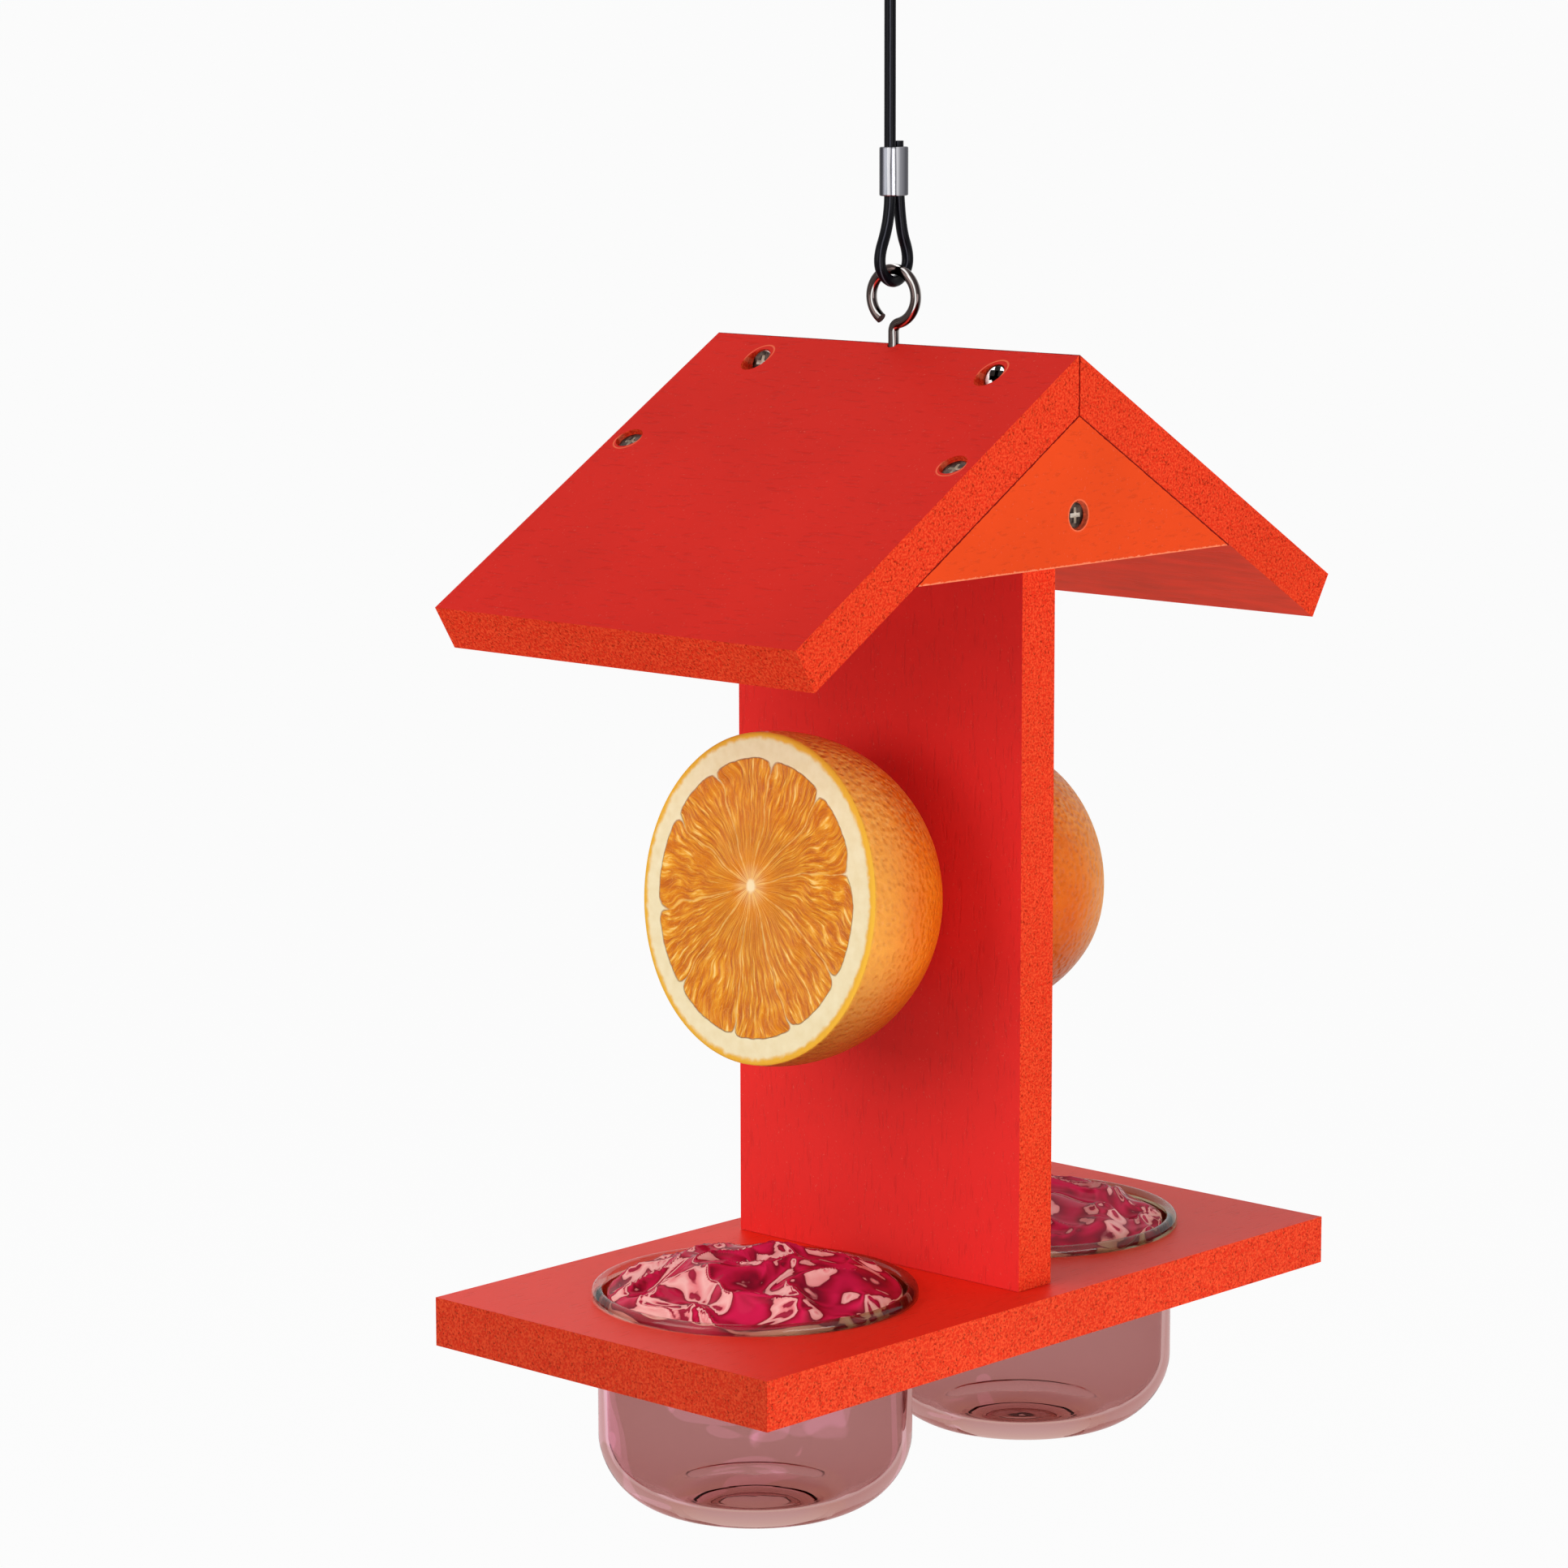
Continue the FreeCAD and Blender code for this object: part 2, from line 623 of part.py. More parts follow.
def jelly(label, sign):
    body = doc.addObject("PartDesign::Body", f"{label}_fill")
    side = "-sizes.cup_side_depth"
    floor = "sizes.cup_floor + sizes.jelly_gap - sizes.cup_depth"
    shoulder_x = f"{CUP_RADIUS} - sizes.cup_shoulder_radius"
    radius = f"{CUP_RADIUS} - sizes.cup_wall - sizes.jelly_gap"
    top = "sizes.jelly_edge_height + sizes.jelly_heap + 2 * sizes.jelly_wave_height"
    small, large, meeting = shoulder(
        value("sizes.cup_shoulder_radius - sizes.cup_wall - sizes.jelly_gap"), floor,
    )
    punt = "sizes.cup_punt_rise"
    corners = [
        rounded("0", f"{floor} + {punt}", "0", None, guess_y=dish_centre(CUP_FOOT, floor, punt)),
        (at(CUP_FOOT, floor), (CUP_FOOT, floor), large, (CUP_FOOT, None)),
        (meeting, None, small, (shoulder_x, side)),
        straight(radius, side),
        straight(radius, top),
        straight("0", top),
    ]
    profile = new_sketch(body, f"{label}_profile", "XZ_Plane")
    curved_outline(profile, corners)
    revolve(body, profile)
    place(body, f"{sign} * {CUP_CENTRE}", "0", BASE_TOP)
    return drilled(body, [jelly_air(label, sign, radius)], label)


for side, sign in ROOF_SIDES:
    jelly(f"jelly_{side}", sign)

# Spike through the post, pointed at both ends, with half an orange on each


def spike():
    shaft_end = f"{HALF_THICK} + sizes.spike_reach - sizes.spike_point"
    shapes = [cylinder("spike_shaft", "sizes.spike_radius", f"2 * ({shaft_end})",
                       f"-({shaft_end})")]
    for end, turn in (("left", "180"), ("right", "0")):
        point = doc.addObject("Part::Cone", f"spike_point_{end}")
        point.setExpression("Radius1", "sizes.spike_radius")
        point.setExpression("Radius2", "sizes.spike_radius / 8")
        point.setExpression("Height", "sizes.spike_point")
        sign = "-" if end == "left" else ""
        place(point, z=f"{sign}({shaft_end})", axis=(1, 0, 0), angle=turn)
        shapes.append(point)
    whole = joined("spike_whole", shapes)
    place(whole, z=f"{BASE_TOP} + sizes.spike_height", axis=(0, 1, 0), angle="90")
    return sub_part(whole, "fruit_spike")


def orange_half(side, sign, hole):
    """Part of an orange with its peel pressed on the post and its cut face outwards.

    The cut's normal is tilted up and turned to the back, and the middle stands a little
    across from the spike and above or below it.
    """
    label = f"orange_half_{side}"
    radius, flat, offset, across, rise, tilt, turn = (
        f"sizes.orange_{side}_{word}"
        for word in ("radius", "flat", "cut_offset", "across", "rise", "tilt", "turn")
    )
    x = f"{sign} * ({HALF_THICK} + sizes.fruit_gap + {radius} - {flat})"
    z = f"{BASE_TOP} + sizes.spike_height + {rise}"
    ball = doc.addObject("Part::Sphere", f"{label}_ball")
    ball.setExpression("Radius", radius)
    ball.setExpression("Angle1", f"-asin(({radius} - {flat}) / {radius})")
    place(ball, x, across, z, (0, 1, 0), f"{sign} * 90")
    knife = cylinder(f"{label}_knife", f"2 * {radius}", radius)
    place(
        knife, f"{x} + {sign} * {offset} * cos({tilt}) * cos({turn})",
        f"{across} + {offset} * cos({tilt}) * sin({turn})", f"{z} + {offset} * sin({tilt})",
        (f"-sin({turn})", f"{sign} * cos({turn})", 0), f"90 - {tilt}",
    )
    return drilled(ball, [hole, knife], label)


spike()
fruit_hole = cylinder(
    "fruit_hole", "sizes.spike_radius + sizes.spike_clearance",
    f"2 * ({HALF_THICK} + sizes.spike_reach + sizes.spike_clearance)",
)
place(fruit_hole, f"-({HALF_THICK} + sizes.spike_reach + sizes.spike_clearance)", "0",
      f"{BASE_TOP} + sizes.spike_height", (0, 1, 0), "90")
for side, sign in ROOF_SIDES:
    orange_half(side, sign, fruit_hole)

# Ferrules and cable, in a plane square to the screw eye's ring


def stadium(sketch, half_spacing, radius):
    """Two half circles joined by tangent lines."""
    start = sketch.GeometryCount
    flat = FreeCAD.Vector(0, 0, 1)
    reach, size = value(half_spacing), value(radius)
    for sign, first in ((-1, math.pi / 2), (1, -math.pi / 2)):
        ring = Part.Circle(FreeCAD.Vector(sign * reach, 0, 0), flat, size)
        sketch.addGeometry(Part.ArcOfCircle(ring, first, first + math.pi), False)
    for sign in (-1, 1):
        ends = [FreeCAD.Vector(-sign * reach, sign * size, 0),
                FreeCAD.Vector(sign * reach, sign * size, 0)]
        sketch.addGeometry(Part.LineSegment(*ends), False)
    left, right, low, high = range(start, start + 4)
    meetings = ((left, 2, low, 2), (low, 1, right, 1), (right, 2, high, 2), (high, 1, left, 1))
    for first, first_end, second, second_end in meetings:
        rule = Sketcher.Constraint("Tangent", first, first_end, second, second_end)
        sketch.addConstraint(rule)
    fix(sketch, left, 3, f"-({half_spacing})", "0")
    fix(sketch, right, 3, half_spacing, "0")
    bind_radius(sketch, left, radius)


def ferrule(label, drop):
    """A double-barrel ferrule with rounded ends, crimped over the cable's two strands."""
    body = doc.addObject("PartDesign::Body", f"{label}_sleeve")
    section = new_sketch(body, f"{label}_section", "XY_Plane")
    barrel = "sizes.cable_radius + sizes.ferrule_clearance"
    stadium(section, "sizes.strand_spacing / 2", f"{barrel} + sizes.ferrule_wall")
    stadium(section, "sizes.strand_spacing / 2", barrel)
    sleeve = pad(body, section, "sizes.ferrule_height")
    doc.recompute()
    middle = value(f"{barrel} + sizes.ferrule_wall / 2")
    rims = []
    for number, edge in enumerate(sleeve.Shape.Edges, start=1):
        level = edge.BoundBox.ZLength < 0.01
        outer = min(abs(corner.Point.y) for corner in edge.Vertexes) > middle
        if level and outer:
            rims.append(f"Edge{number}")
    rounding = body.newObject("PartDesign::Fillet", f"{label}_rounding")
    rounding.Base = (sleeve, rims)
    rounding.setExpression("Radius", "sizes.ferrule_edge")
    place(body, z=f"-{drop}", angle="sizes.eye_turn")
    return sub_part(body, label)


def cable_path():
    """Straight runs joined by tangent arcs, each as large as its shorter run allows."""
    spots = [FreeCAD.Vector(across, 0, up) for across, up in CABLE_ROUTE]
    edges, radii = [], []
    last = spots[0]
    for before, corner, after in zip(spots, spots[1:], spots[2:]):
        run_in, run_out = corner - before, after - corner
        half_turn = run_in.getAngle(run_out) / 2
        reach = BEND_SHARE * min(run_in.Length, run_out.Length)
        radius = reach / math.tan(half_turn)
        run_in.normalize()
        run_out.normalize()
        start, stop = corner - run_in * reach, corner + run_out * reach
        inward = (run_out - run_in).normalize()
        middle = corner + inward * (radius / math.cos(half_turn) - radius)
        edges.append(Part.LineSegment(last, start).toShape())
        edges.append(Part.Arc(start, middle, stop).toShape())
        radii.append(round(radius, 1))
        last = stop
    edges.append(Part.LineSegment(last, spots[-1]).toShape())
    print("cable bend radii, mm:", radii)
    return Part.Wire(edges)


def cable():
    path = cable_path()
    start = path.Edges[0]
    radius = value("sizes.cable_radius")
    end_circle = Part.makeCircle(radius, start.Vertexes[0].Point, start.tangentAt(0))
    tube = path.makePipe(Part.Face(Part.Wire(end_circle)))
    expected = math.pi * radius ** 2 * path.Length
    print(f"cable length {path.Length:.1f} mm, volume {tube.Volume:.1f} of {expected:.1f} mm3")
    feature = doc.addObject("Part::Feature", "cable_tube")
    feature.Shape = tube
    place(feature, angle="sizes.eye_turn")
    return sub_part(feature, "cable")


for level in ("upper", "lower"):
    ferrule(f"ferrule_{level}", f"sizes.{level}_ferrule_drop")
cable()

doc.recompute()

# Checks, then one file for each sub-part

for obj in doc.Objects:
    if "Invalid" in obj.State or "Error" in obj.State:
        raise RuntimeError(f"{obj.Name} failed: {obj.State}")
for obj in SUB_PARTS:
    if obj.Shape.isNull() or not obj.Shape.isValid() or len(obj.Shape.Solids) != 1:
        raise RuntimeError(f"{obj.Label} has no single valid solid")

os.makedirs("parts", exist_ok=True)
for obj in SUB_PARTS:
    obj.Shape.exportStep(f"parts/{obj.Label}.step")
print(len(SUB_PARTS), "sub-parts")
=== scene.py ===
"""Looks for the hanging oriole feeder: materials, orange halves, jelly, cable, light and camera.

Metres, in the part's own frame: origin inside the top cable loop, +Z up, +X along the base
board, +Y along the ridge. Sizes are written in millimetres and multiplied by MM.
"""
import math

import bpy
from mathutils import Euler, Matrix, Vector, noise
from mathutils.bvhtree import BVHTree


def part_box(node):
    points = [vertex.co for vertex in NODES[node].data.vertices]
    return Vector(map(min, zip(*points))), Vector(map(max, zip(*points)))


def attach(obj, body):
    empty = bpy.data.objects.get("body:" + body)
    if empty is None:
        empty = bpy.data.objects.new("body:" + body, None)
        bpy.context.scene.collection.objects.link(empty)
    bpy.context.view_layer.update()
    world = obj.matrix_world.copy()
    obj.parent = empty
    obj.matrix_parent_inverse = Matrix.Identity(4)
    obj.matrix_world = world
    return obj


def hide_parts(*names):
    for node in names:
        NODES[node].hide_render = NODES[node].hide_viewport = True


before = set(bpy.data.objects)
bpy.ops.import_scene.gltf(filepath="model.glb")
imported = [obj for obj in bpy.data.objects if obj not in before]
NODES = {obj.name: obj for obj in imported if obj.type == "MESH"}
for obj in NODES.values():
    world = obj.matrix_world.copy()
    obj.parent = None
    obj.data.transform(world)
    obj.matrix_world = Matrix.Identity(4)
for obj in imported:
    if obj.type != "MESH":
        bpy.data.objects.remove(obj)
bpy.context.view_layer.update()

MM = 0.001

# Camera, fitted to the photograph's corners
CAMERA_PLACE = (-0.963354, -0.856249, -0.032944)
CAMERA_YAW, CAMERA_PITCH, CAMERA_ROLL = 47.109, 9.08, -0.121
CAMERA_LENS, CAMERA_SENSOR = 115.25, 36.0

# Directions as the camera sees them, level with the ground
TO_RIGHT = (0.68, -0.73, 0.0)
TO_CAMERA = (-0.73, -0.68, 0.0)

# Places that come from the frame
BASE_BOTTOM, BASE_TOP = (corner.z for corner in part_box("base_board"))
SPIKE_Z = sum(corner.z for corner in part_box("fruit_spike")) / 2
GABLE_BOTTOM, GABLE_TOP = (corner.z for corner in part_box("gable_front"))
ROOF_PITCH = math.radians(31.5)
RIDGE_SCREW_LEAN = math.radians(69)

# Oranges, as in the CAD model: in millimetres the radius, the depth pressed flat on the post,
# the cut's distance from the middle, and how far across and above the spike the middle lies;
# then in degrees how far the cut leans up and back
ORANGES = {
    "left": ((42.7, 4.7, 6.7, 0.5, 1.5), (7.0, 3.5)),
    "right": ((36.3, 5.2, 16.0, 5.5, -4.3), (2.0, 1.0)),
}

# The cut face, drawn for the left orange and scaled to the right one
CUT_RADIUS = 42.2 * MM
PEEL_WIDTH = 1.3 * MM
PULP_RADIUS = 35.6 * MM
PULP_ACROSS = -0.6 * MM
CORE_RADIUS = 1.8 * MM
CORE_ACROSS, CORE_UP = -2.3 * MM, 3.0 * MM
SEGMENTS = 10
# Share of painted shade over each peel, darkening the right orange
PEEL_PAINTED_SHADE = {"left": 0.0, "right": 0.25}

# Jelly: share of a paler tone screened over the top as painted light, most on the right one, and
# the folds over the CAD solid's rolling top
JELLY_PAINTED_LIGHT = {"left": 0.15, "right": 0.4}
FOLD_HEIGHT = 2.3 * MM
FOLD_WIDTH = 14.0 * MM
FOLD_SHIFT = 3.7
FOLD_SEED = 4

# Cable: its route in its own plane, across and up, and the turn of that plane
CABLE_DIAMETER = 3.0 * MM
CABLE_TURN = math.radians(6)
CABLE_ROUTE = [
    (1.7, -34.3), (1.7, -14.4), (7.8, -2.7), (0.0, 2.8), (-7.8, -2.7), (-1.7, -14.4),
    (-1.7, -27.6), (-1.7, -79.7),
    (-1.7, -92.9), (-7.8, -104.5), (0.0, -110.1), (7.8, -104.5), (1.7, -92.9), (1.7, -73.0),
]

SIDES = {"left": -1, "right": 1}

# Area lamps: place, size across and power
LAMP_TARGET = (0, 0, -0.25)
LAMPS = {
    "key": ((-0.25, -1.5, -0.4), 0.9, 14),
    "fill": ((-1.4, 0.3, 0.25), 1.0, 13),
    "top": ((0.2, 0.3, 1.0), 1.0, 2),
}
WORLD_LEVEL = 0.42
FLOOR_Z = -0.75
FLOOR_REACH = 600.0
FLOOR_WHITENESS = 0.94


# Shader helpers


def new_material(name):
    material = bpy.data.materials.new(name)
    material.use_nodes = True
    return material, material.node_tree, material.node_tree.nodes["Principled BSDF"]


def node(tree, kind, inputs=None, **settings):
    """A shader node with its inputs linked or set."""
    made = tree.nodes.new(f"ShaderNode{kind}")
    for name, setting in settings.items():
        setattr(made, name, setting)
    for socket, source in (inputs or {}).items():
        if isinstance(source, bpy.types.NodeSocket):
            tree.links.new(source, made.inputs[socket])
        else:
            made.inputs[socket].default_value = source
    return made


def maths(tree, operation, *values):
    return node(tree, "Math", dict(enumerate(values)), operation=operation).outputs[0]


def times(tree, first, second, *more):
    product = maths(tree, "MULTIPLY", first, second)
    return times(tree, product, *more) if more else product


def dot(tree, vector, direction):
    made = node(tree, "VectorMath", {0: vector, 1: direction}, operation="DOT_PRODUCT")
    return made.outputs["Value"]


def parts_of(tree, vector):
    """The vector's X, Y and Z."""
    return node(tree, "SeparateXYZ", {0: vector}).outputs


def mix(tree, factor, first, second, blend="MIX"):
    made = node(tree, "Mix", {0: factor, 6: first, 7: second}, data_type="RGBA", blend_type=blend)
    return made.outputs[2]


def ramp(tree, factor, *stops):
    """A colour ramp through (position, colour) stops; a number stands for a grey."""
    made = node(tree, "ValToRGB", {0: factor})
    elements = made.color_ramp.elements
    while len(elements) < len(stops):
        elements.new(0.5)
    for element, (position, colour) in zip(elements, stops):
        element.position = position
        element.color = colour if hasattr(colour, "__len__") else (colour,) * 3 + (1,)
    return made.outputs[0]


def banded(tree, inputs, low, high, kind="SMOOTHSTEP"):
    """0 below low, 1 above high and smooth between."""
    made = node(tree, "MapRange", {"Value": inputs, "From Min": low, "From Max": high},
                interpolation_type=kind)
    return made.outputs[0]


def place(tree, scale=(1, 1, 1), offset=(0, 0, 0)):
    """The place on the object, scaled along the axes."""
    here = node(tree, "TexCoord").outputs["Object"]
    return node(tree, "Mapping", {0: here, 1: offset, 3: scale}).outputs[0]


def speckle(tree, where, scale, detail=2.0, roughness=0.5):
    made = node(tree, "TexNoise", {"Vector": where, "Scale": scale, "Detail": detail,
                                   "Roughness": roughness})
    return made.outputs[0]


def add_bump(tree, surface, height, distance, strength=1.0):
    """Relief on the surface, in metres where the height goes from 0 to 1."""
    made = node(tree, "Bump", {"Height": height, "Distance": distance, "Strength": strength})
    tree.links.new(made.outputs[0], surface.inputs["Normal"])


def middle_of(name):
    low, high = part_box(name)
    return (low + high) / 2


def facing(tree, direction):
    """How far the surface faces along a direction of the object, from -1 to 1."""
    return dot(tree, node(tree, "TexCoord").outputs["Normal"], direction)


def rgb(red, green, blue):
    """A colour written in 0 to 255, as a linear one."""
    def linear(level):
        share = level / 255
        return share / 12.92 if share <= 0.04045 else ((share + 0.055) / 1.055) ** 2.4
    return linear(red), linear(green), linear(blue), 1.0


def darker(colour, share):
    return tuple(share * level for level in colour[:3]) + (1,)


def seen_ray(tree):
    """1 on rays from the camera, from reflections and through glass."""
    rays = node(tree, "LightPath").outputs
    return maths(tree, "MAXIMUM", rays["Is Camera Ray"],
                 maths(tree, "MAXIMUM", rays["Is Glossy Ray"], rays["Is Transmission Ray"]))


# Boards: smooth faces, and sawn edges with fine pits

ROOF_RED = rgb(214, 42, 34)
POST_RED = rgb(230, 48, 46)
BASE_RED = rgb(240, 46, 28)
GABLE_RED = rgb(234, 74, 30)
# Painted light on the roof boards' undersides: a lighter red, with streaks along the grain
UNDER_PAINTED_LIGHT, UNDER_PAINTED_LIGHT_STREAK = rgb(240, 68, 40), rgb(218, 64, 38)
FLECK_RED = rgb(240, 120, 100)
NICK_RED = rgb(255, 150, 110)
CUT_RED, CUT_GRIT = rgb(246, 54, 30), rgb(255, 88, 50)
# Pale rings painted round the bores' edges as highlights
BORE_EDGE_HIGHLIGHT = rgb(255, 136, 96)
SEAM_RED = rgb(124, 12, 10)
BOARD_SHEEN = (1.0, 0.72, 0.26, 1)

# How far noise is drawn out along the grain and squeezed across it, per metre
ALONG_GRAIN, ALONG_GABLE, ACROSS_GRAIN = 160, 260, 1000

BORE_RADIUS = 3.75 * MM
BOARD_SCREWS = {
    "gable_front": ("gable_screw_front",),
    "gable_back": ("gable_screw_back",),
    "roof_board_left": ("roof_screw_left_front", "roof_screw_left_back",
                        "ridge_screw_front", "ridge_screw_back"),
    "roof_board_right": ("roof_screw_right_front", "roof_screw_right_back"),
    "base_board": ("base_screw_front", "base_screw_back"),
}


def screw_axis(name):
    """The direction that a screw's head faces."""
    if name.startswith("gable"):
        return Vector((0, math.copysign(1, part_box(name)[0].y), 0))
    if name.startswith("base"):
        return Vector((0, 0, -1))
    lean = RIDGE_SCREW_LEAN if name.startswith("ridge") else ROOF_PITCH
    side = 1 if "right" in name else -1
    return Vector((side * math.sin(lean), 0, math.cos(lean)))


def from_screw_axis(tree, name):
    """The distance from a screw's axis, as a vector at right angles to it and as a length."""
    from_middle = node(tree, "VectorMath", {0: place(tree), 1: middle_of(name)},
                       operation="SUBTRACT").outputs[0]
    aside = node(tree, "VectorMath", {0: from_middle, 1: screw_axis(name)},
                 operation="CROSS_PRODUCT").outputs[0]
    return aside, node(tree, "VectorMath", {0: aside}, operation="LENGTH").outputs["Value"]


def mitre_gap(tree):
    """Distance from the plane of the ridge's mitre."""
    return maths(tree, "ABSOLUTE", parts_of(tree, place(tree))[0])


def gable_gap(tree):
    """Distance from the gable's slanted edges."""
    across, _, height = parts_of(tree, place(tree))
    fall = maths(tree, "SUBTRACT", GABLE_TOP, height)
    return maths(tree, "SUBTRACT", times(tree, fall, math.cos(ROOF_PITCH)),
                 times(tree, maths(tree, "ABSOLUTE", across), math.sin(ROOF_PITCH)))


def seam(tree, distance, width):
    """A thin line of uneven width where the distance is nearly 0."""
    edge = times(tree, speckle(tree, place(tree), 420.0, 3.0, 0.7), 2 * width)
    return banded(tree, maths(tree, "SUBTRACT", edge, distance), 0.0, 0.12 * MM)


def board_face(tree, name, face_axis, grain, colour):
    """A moulded face's colour and relief: short dashes along the grain and pale flecks, and on the
    roof boards' undersides a lighter, streaked red as painted light.
    """
    dashes = ramp(tree, speckle(tree, place(tree, grain), 1.0, 3.0, 0.6), (0.58, 0.0), (0.66, 1.0))
    flecks = ramp(tree, speckle(tree, place(tree), 1500.0, 1.0), (0.71, 0.0), (0.77, 1.0))
    face = mix(tree, times(tree, dashes, 0.22), colour, darker(colour, 0.6))
    face = mix(tree, times(tree, flecks, 0.3), face, FLECK_RED)
    if name.startswith("gable"):
        uneven = maths(tree, "MULTIPLY_ADD", speckle(tree, place(tree), 600.0, 3.0, 0.7), -1.6 * MM,
                       parts_of(tree, place(tree))[2])
        nicks = banded(tree, uneven, GABLE_BOTTOM - 0.35 * MM, GABLE_BOTTOM - 0.55 * MM)
        face = mix(tree, times(tree, nicks, 0.7), face, NICK_RED)
    if name.startswith("roof"):
        # Painted light: the roof boards' undersides get a lighter, streaked red where the face
        # looks down
        long_grain = tuple(0.3 * share for share in grain)
        streaks = ramp(tree, speckle(tree, place(tree, long_grain), 1.0, 3.0),
                       (0.3, UNDER_PAINTED_LIGHT_STREAK), (0.7, UNDER_PAINTED_LIGHT))
        under = facing(tree, tuple(-share for share in face_axis))
        face = mix(tree, banded(tree, under, 0.8, 0.95), face, streaks)
    return face, maths(tree, "MULTIPLY_ADD", dashes, -0.25, times(tree, flecks, 0.2))


def board_cut(tree):
    """A sawn edge's colour and relief: pale grit and dark pits, and more shade on the ends."""
    pits = ramp(tree, speckle(tree, place(tree), 1350.0, 3.0, 0.65), (0.34, 1.0), (0.39, 0.0))
    grit = ramp(tree, speckle(tree, place(tree, offset=(1, 2, 3)), 1650.0, 2.0),
                (0.4, 0.0), (0.61, 1.0))
    cut = mix(tree, times(tree, grit, 0.75), darker(CUT_RED, 0.84), CUT_GRIT)
    cut = mix(tree, times(tree, pits, 0.44), cut, darker(CUT_RED, 0.3))
    endways = maths(tree, "ABSOLUTE", facing(tree, (1, 0, 0)))
    shade = maths(tree, "MULTIPLY_ADD", banded(tree, endways, 0.6, 0.8), 0.22,
                  times(tree, banded(tree, endways, 0.9, 0.97), 0.12))
    cut = mix(tree, shade, cut, (0, 0, 0, 1))
    return cut, maths(tree, "MULTIPLY_ADD", pits, -1.0, times(tree, grit, 0.5))


def board_material(name, face_axis, grain, face_colour, haze, gap=None, seam_width=0.0):
    """Moulded faces square to one axis, sawn edges, painted highlights round the bores' edges and
    seams beside it.
    """
    material, tree, surface = new_material(name)
    on_face = maths(tree, "GREATER_THAN", maths(tree, "ABSOLUTE", facing(tree, face_axis)), 0.9)
    face, face_relief = board_face(tree, name, face_axis, grain, face_colour)
    cut, cut_relief = board_cut(tree)
    mottle = ramp(tree, speckle(tree, place(tree), 22.0, 3.0), (0.3, 0.94), (0.7, 1.04))
    colour = mix(tree, 1.0, mix(tree, on_face, cut, face), mottle, "MULTIPLY")
    for screw in BOARD_SCREWS.get(name, ()):
        # A painted highlight in a thin ring round each bore's edge
        reach = from_screw_axis(tree, screw)[1]
        edge_highlight = times(tree, banded(tree, reach, BORE_RADIUS - 0.1 * MM, BORE_RADIUS),
                     banded(tree, reach, BORE_RADIUS + 0.5 * MM, BORE_RADIUS + 0.2 * MM))
        colour = mix(tree, times(tree, edge_highlight, 0.5), colour, BORE_EDGE_HIGHLIGHT)
    if gap is not None:
        colour = mix(tree, seam(tree, gap(tree), seam_width), colour, SEAM_RED)
    tree.links.new(colour, surface.inputs["Base Color"])
    tree.links.new(ramp(tree, on_face, (0.0, 0.8), (1.0, 0.45)), surface.inputs["Roughness"])
    surface.inputs["Specular IOR Level"].default_value = haze
    surface.inputs["Specular Tint"].default_value = BOARD_SHEEN
    relief = node(tree, "Mix", {0: on_face, 2: cut_relief, 3: face_relief}, data_type="FLOAT")
    add_bump(tree, surface, relief.outputs[0], 0.22 * MM)
    return material


def dress(obj, material):
    """Gives a carried-over node one material."""
    obj.data.materials.clear()
    obj.data.materials.append(material)


def dress_boards():
    sine, cosine = math.sin(ROOF_PITCH), math.cos(ROOF_PITCH)
    level_grain = (ALONG_GRAIN, ACROSS_GRAIN, ACROSS_GRAIN)
    upright_grain = (ACROSS_GRAIN, ACROSS_GRAIN, ALONG_GRAIN)
    gable_grain = (ALONG_GABLE, ACROSS_GRAIN, ACROSS_GRAIN)
    roof_grain = (ACROSS_GRAIN, ALONG_GRAIN, ACROSS_GRAIN)
    looks = {
        "base_board": ((0, 0, 1), level_grain, BASE_RED, 0.18),
        "post": ((1, 0, 0), upright_grain, POST_RED, 0.06),
        "gable_front": ((0, 1, 0), gable_grain, GABLE_RED, 0.05, gable_gap, 0.36 * MM),
        "gable_back": ((0, 1, 0), gable_grain, GABLE_RED, 0.05, gable_gap, 0.36 * MM),
        "roof_board_left": ((-sine, 0, cosine), roof_grain, ROOF_RED, 0.02, mitre_gap, 0.3 * MM),
        "roof_board_right": ((sine, 0, cosine), roof_grain, ROOF_RED, 0.02, mitre_gap, 0.3 * MM),
    }
    for name, look in looks.items():
        dress(NODES[name], board_material(name, *look))


# Metal and glass

SPIKE_DARK, SPIKE_LIGHT = rgb(120, 116, 112), rgb(188, 184, 180)
BRIGHT_SCREW = "ridge_screw_front"
# Each head's dark and light tones, then the tone of its recess and side: painted shade on the
# bright head, painted glints on the dark ones
BRIGHT_HEAD = rgb(226, 226, 224), rgb(250, 250, 248), rgb(34, 30, 28)
DARK_HEAD = rgb(46, 34, 30), rgb(98, 82, 74), rgb(232, 224, 216)

# Where the bright head's painted cross of shade ends, from none to full, beside its arms and at
# their tips
CROSS_HALF_WIDTH = 1.0 * MM, 0.85 * MM
CROSS_HALF_LENGTH = 2.35 * MM, 2.15 * MM

# The glass's tint at the left and the right of its rim, lower down, and at its foot and glints,
# and what its thickness adds
RIM_CLEAR, RIM_OLIVE = (0.84, 0.78, 0.7, 1), (0.5, 0.55, 0.36, 1)
BODY_TINT, FOOT_TINT = (0.648, 0.447, 0.438, 1), (0.72, 0.5, 0.41, 1)
GLINT_PINK = (1.0, 0.66, 0.8, 1)
THICK_TINT, THICK_DENSITY = (0.553, 0.073, 0.0, 1), 20.0
GLASS_IOR = 1.025


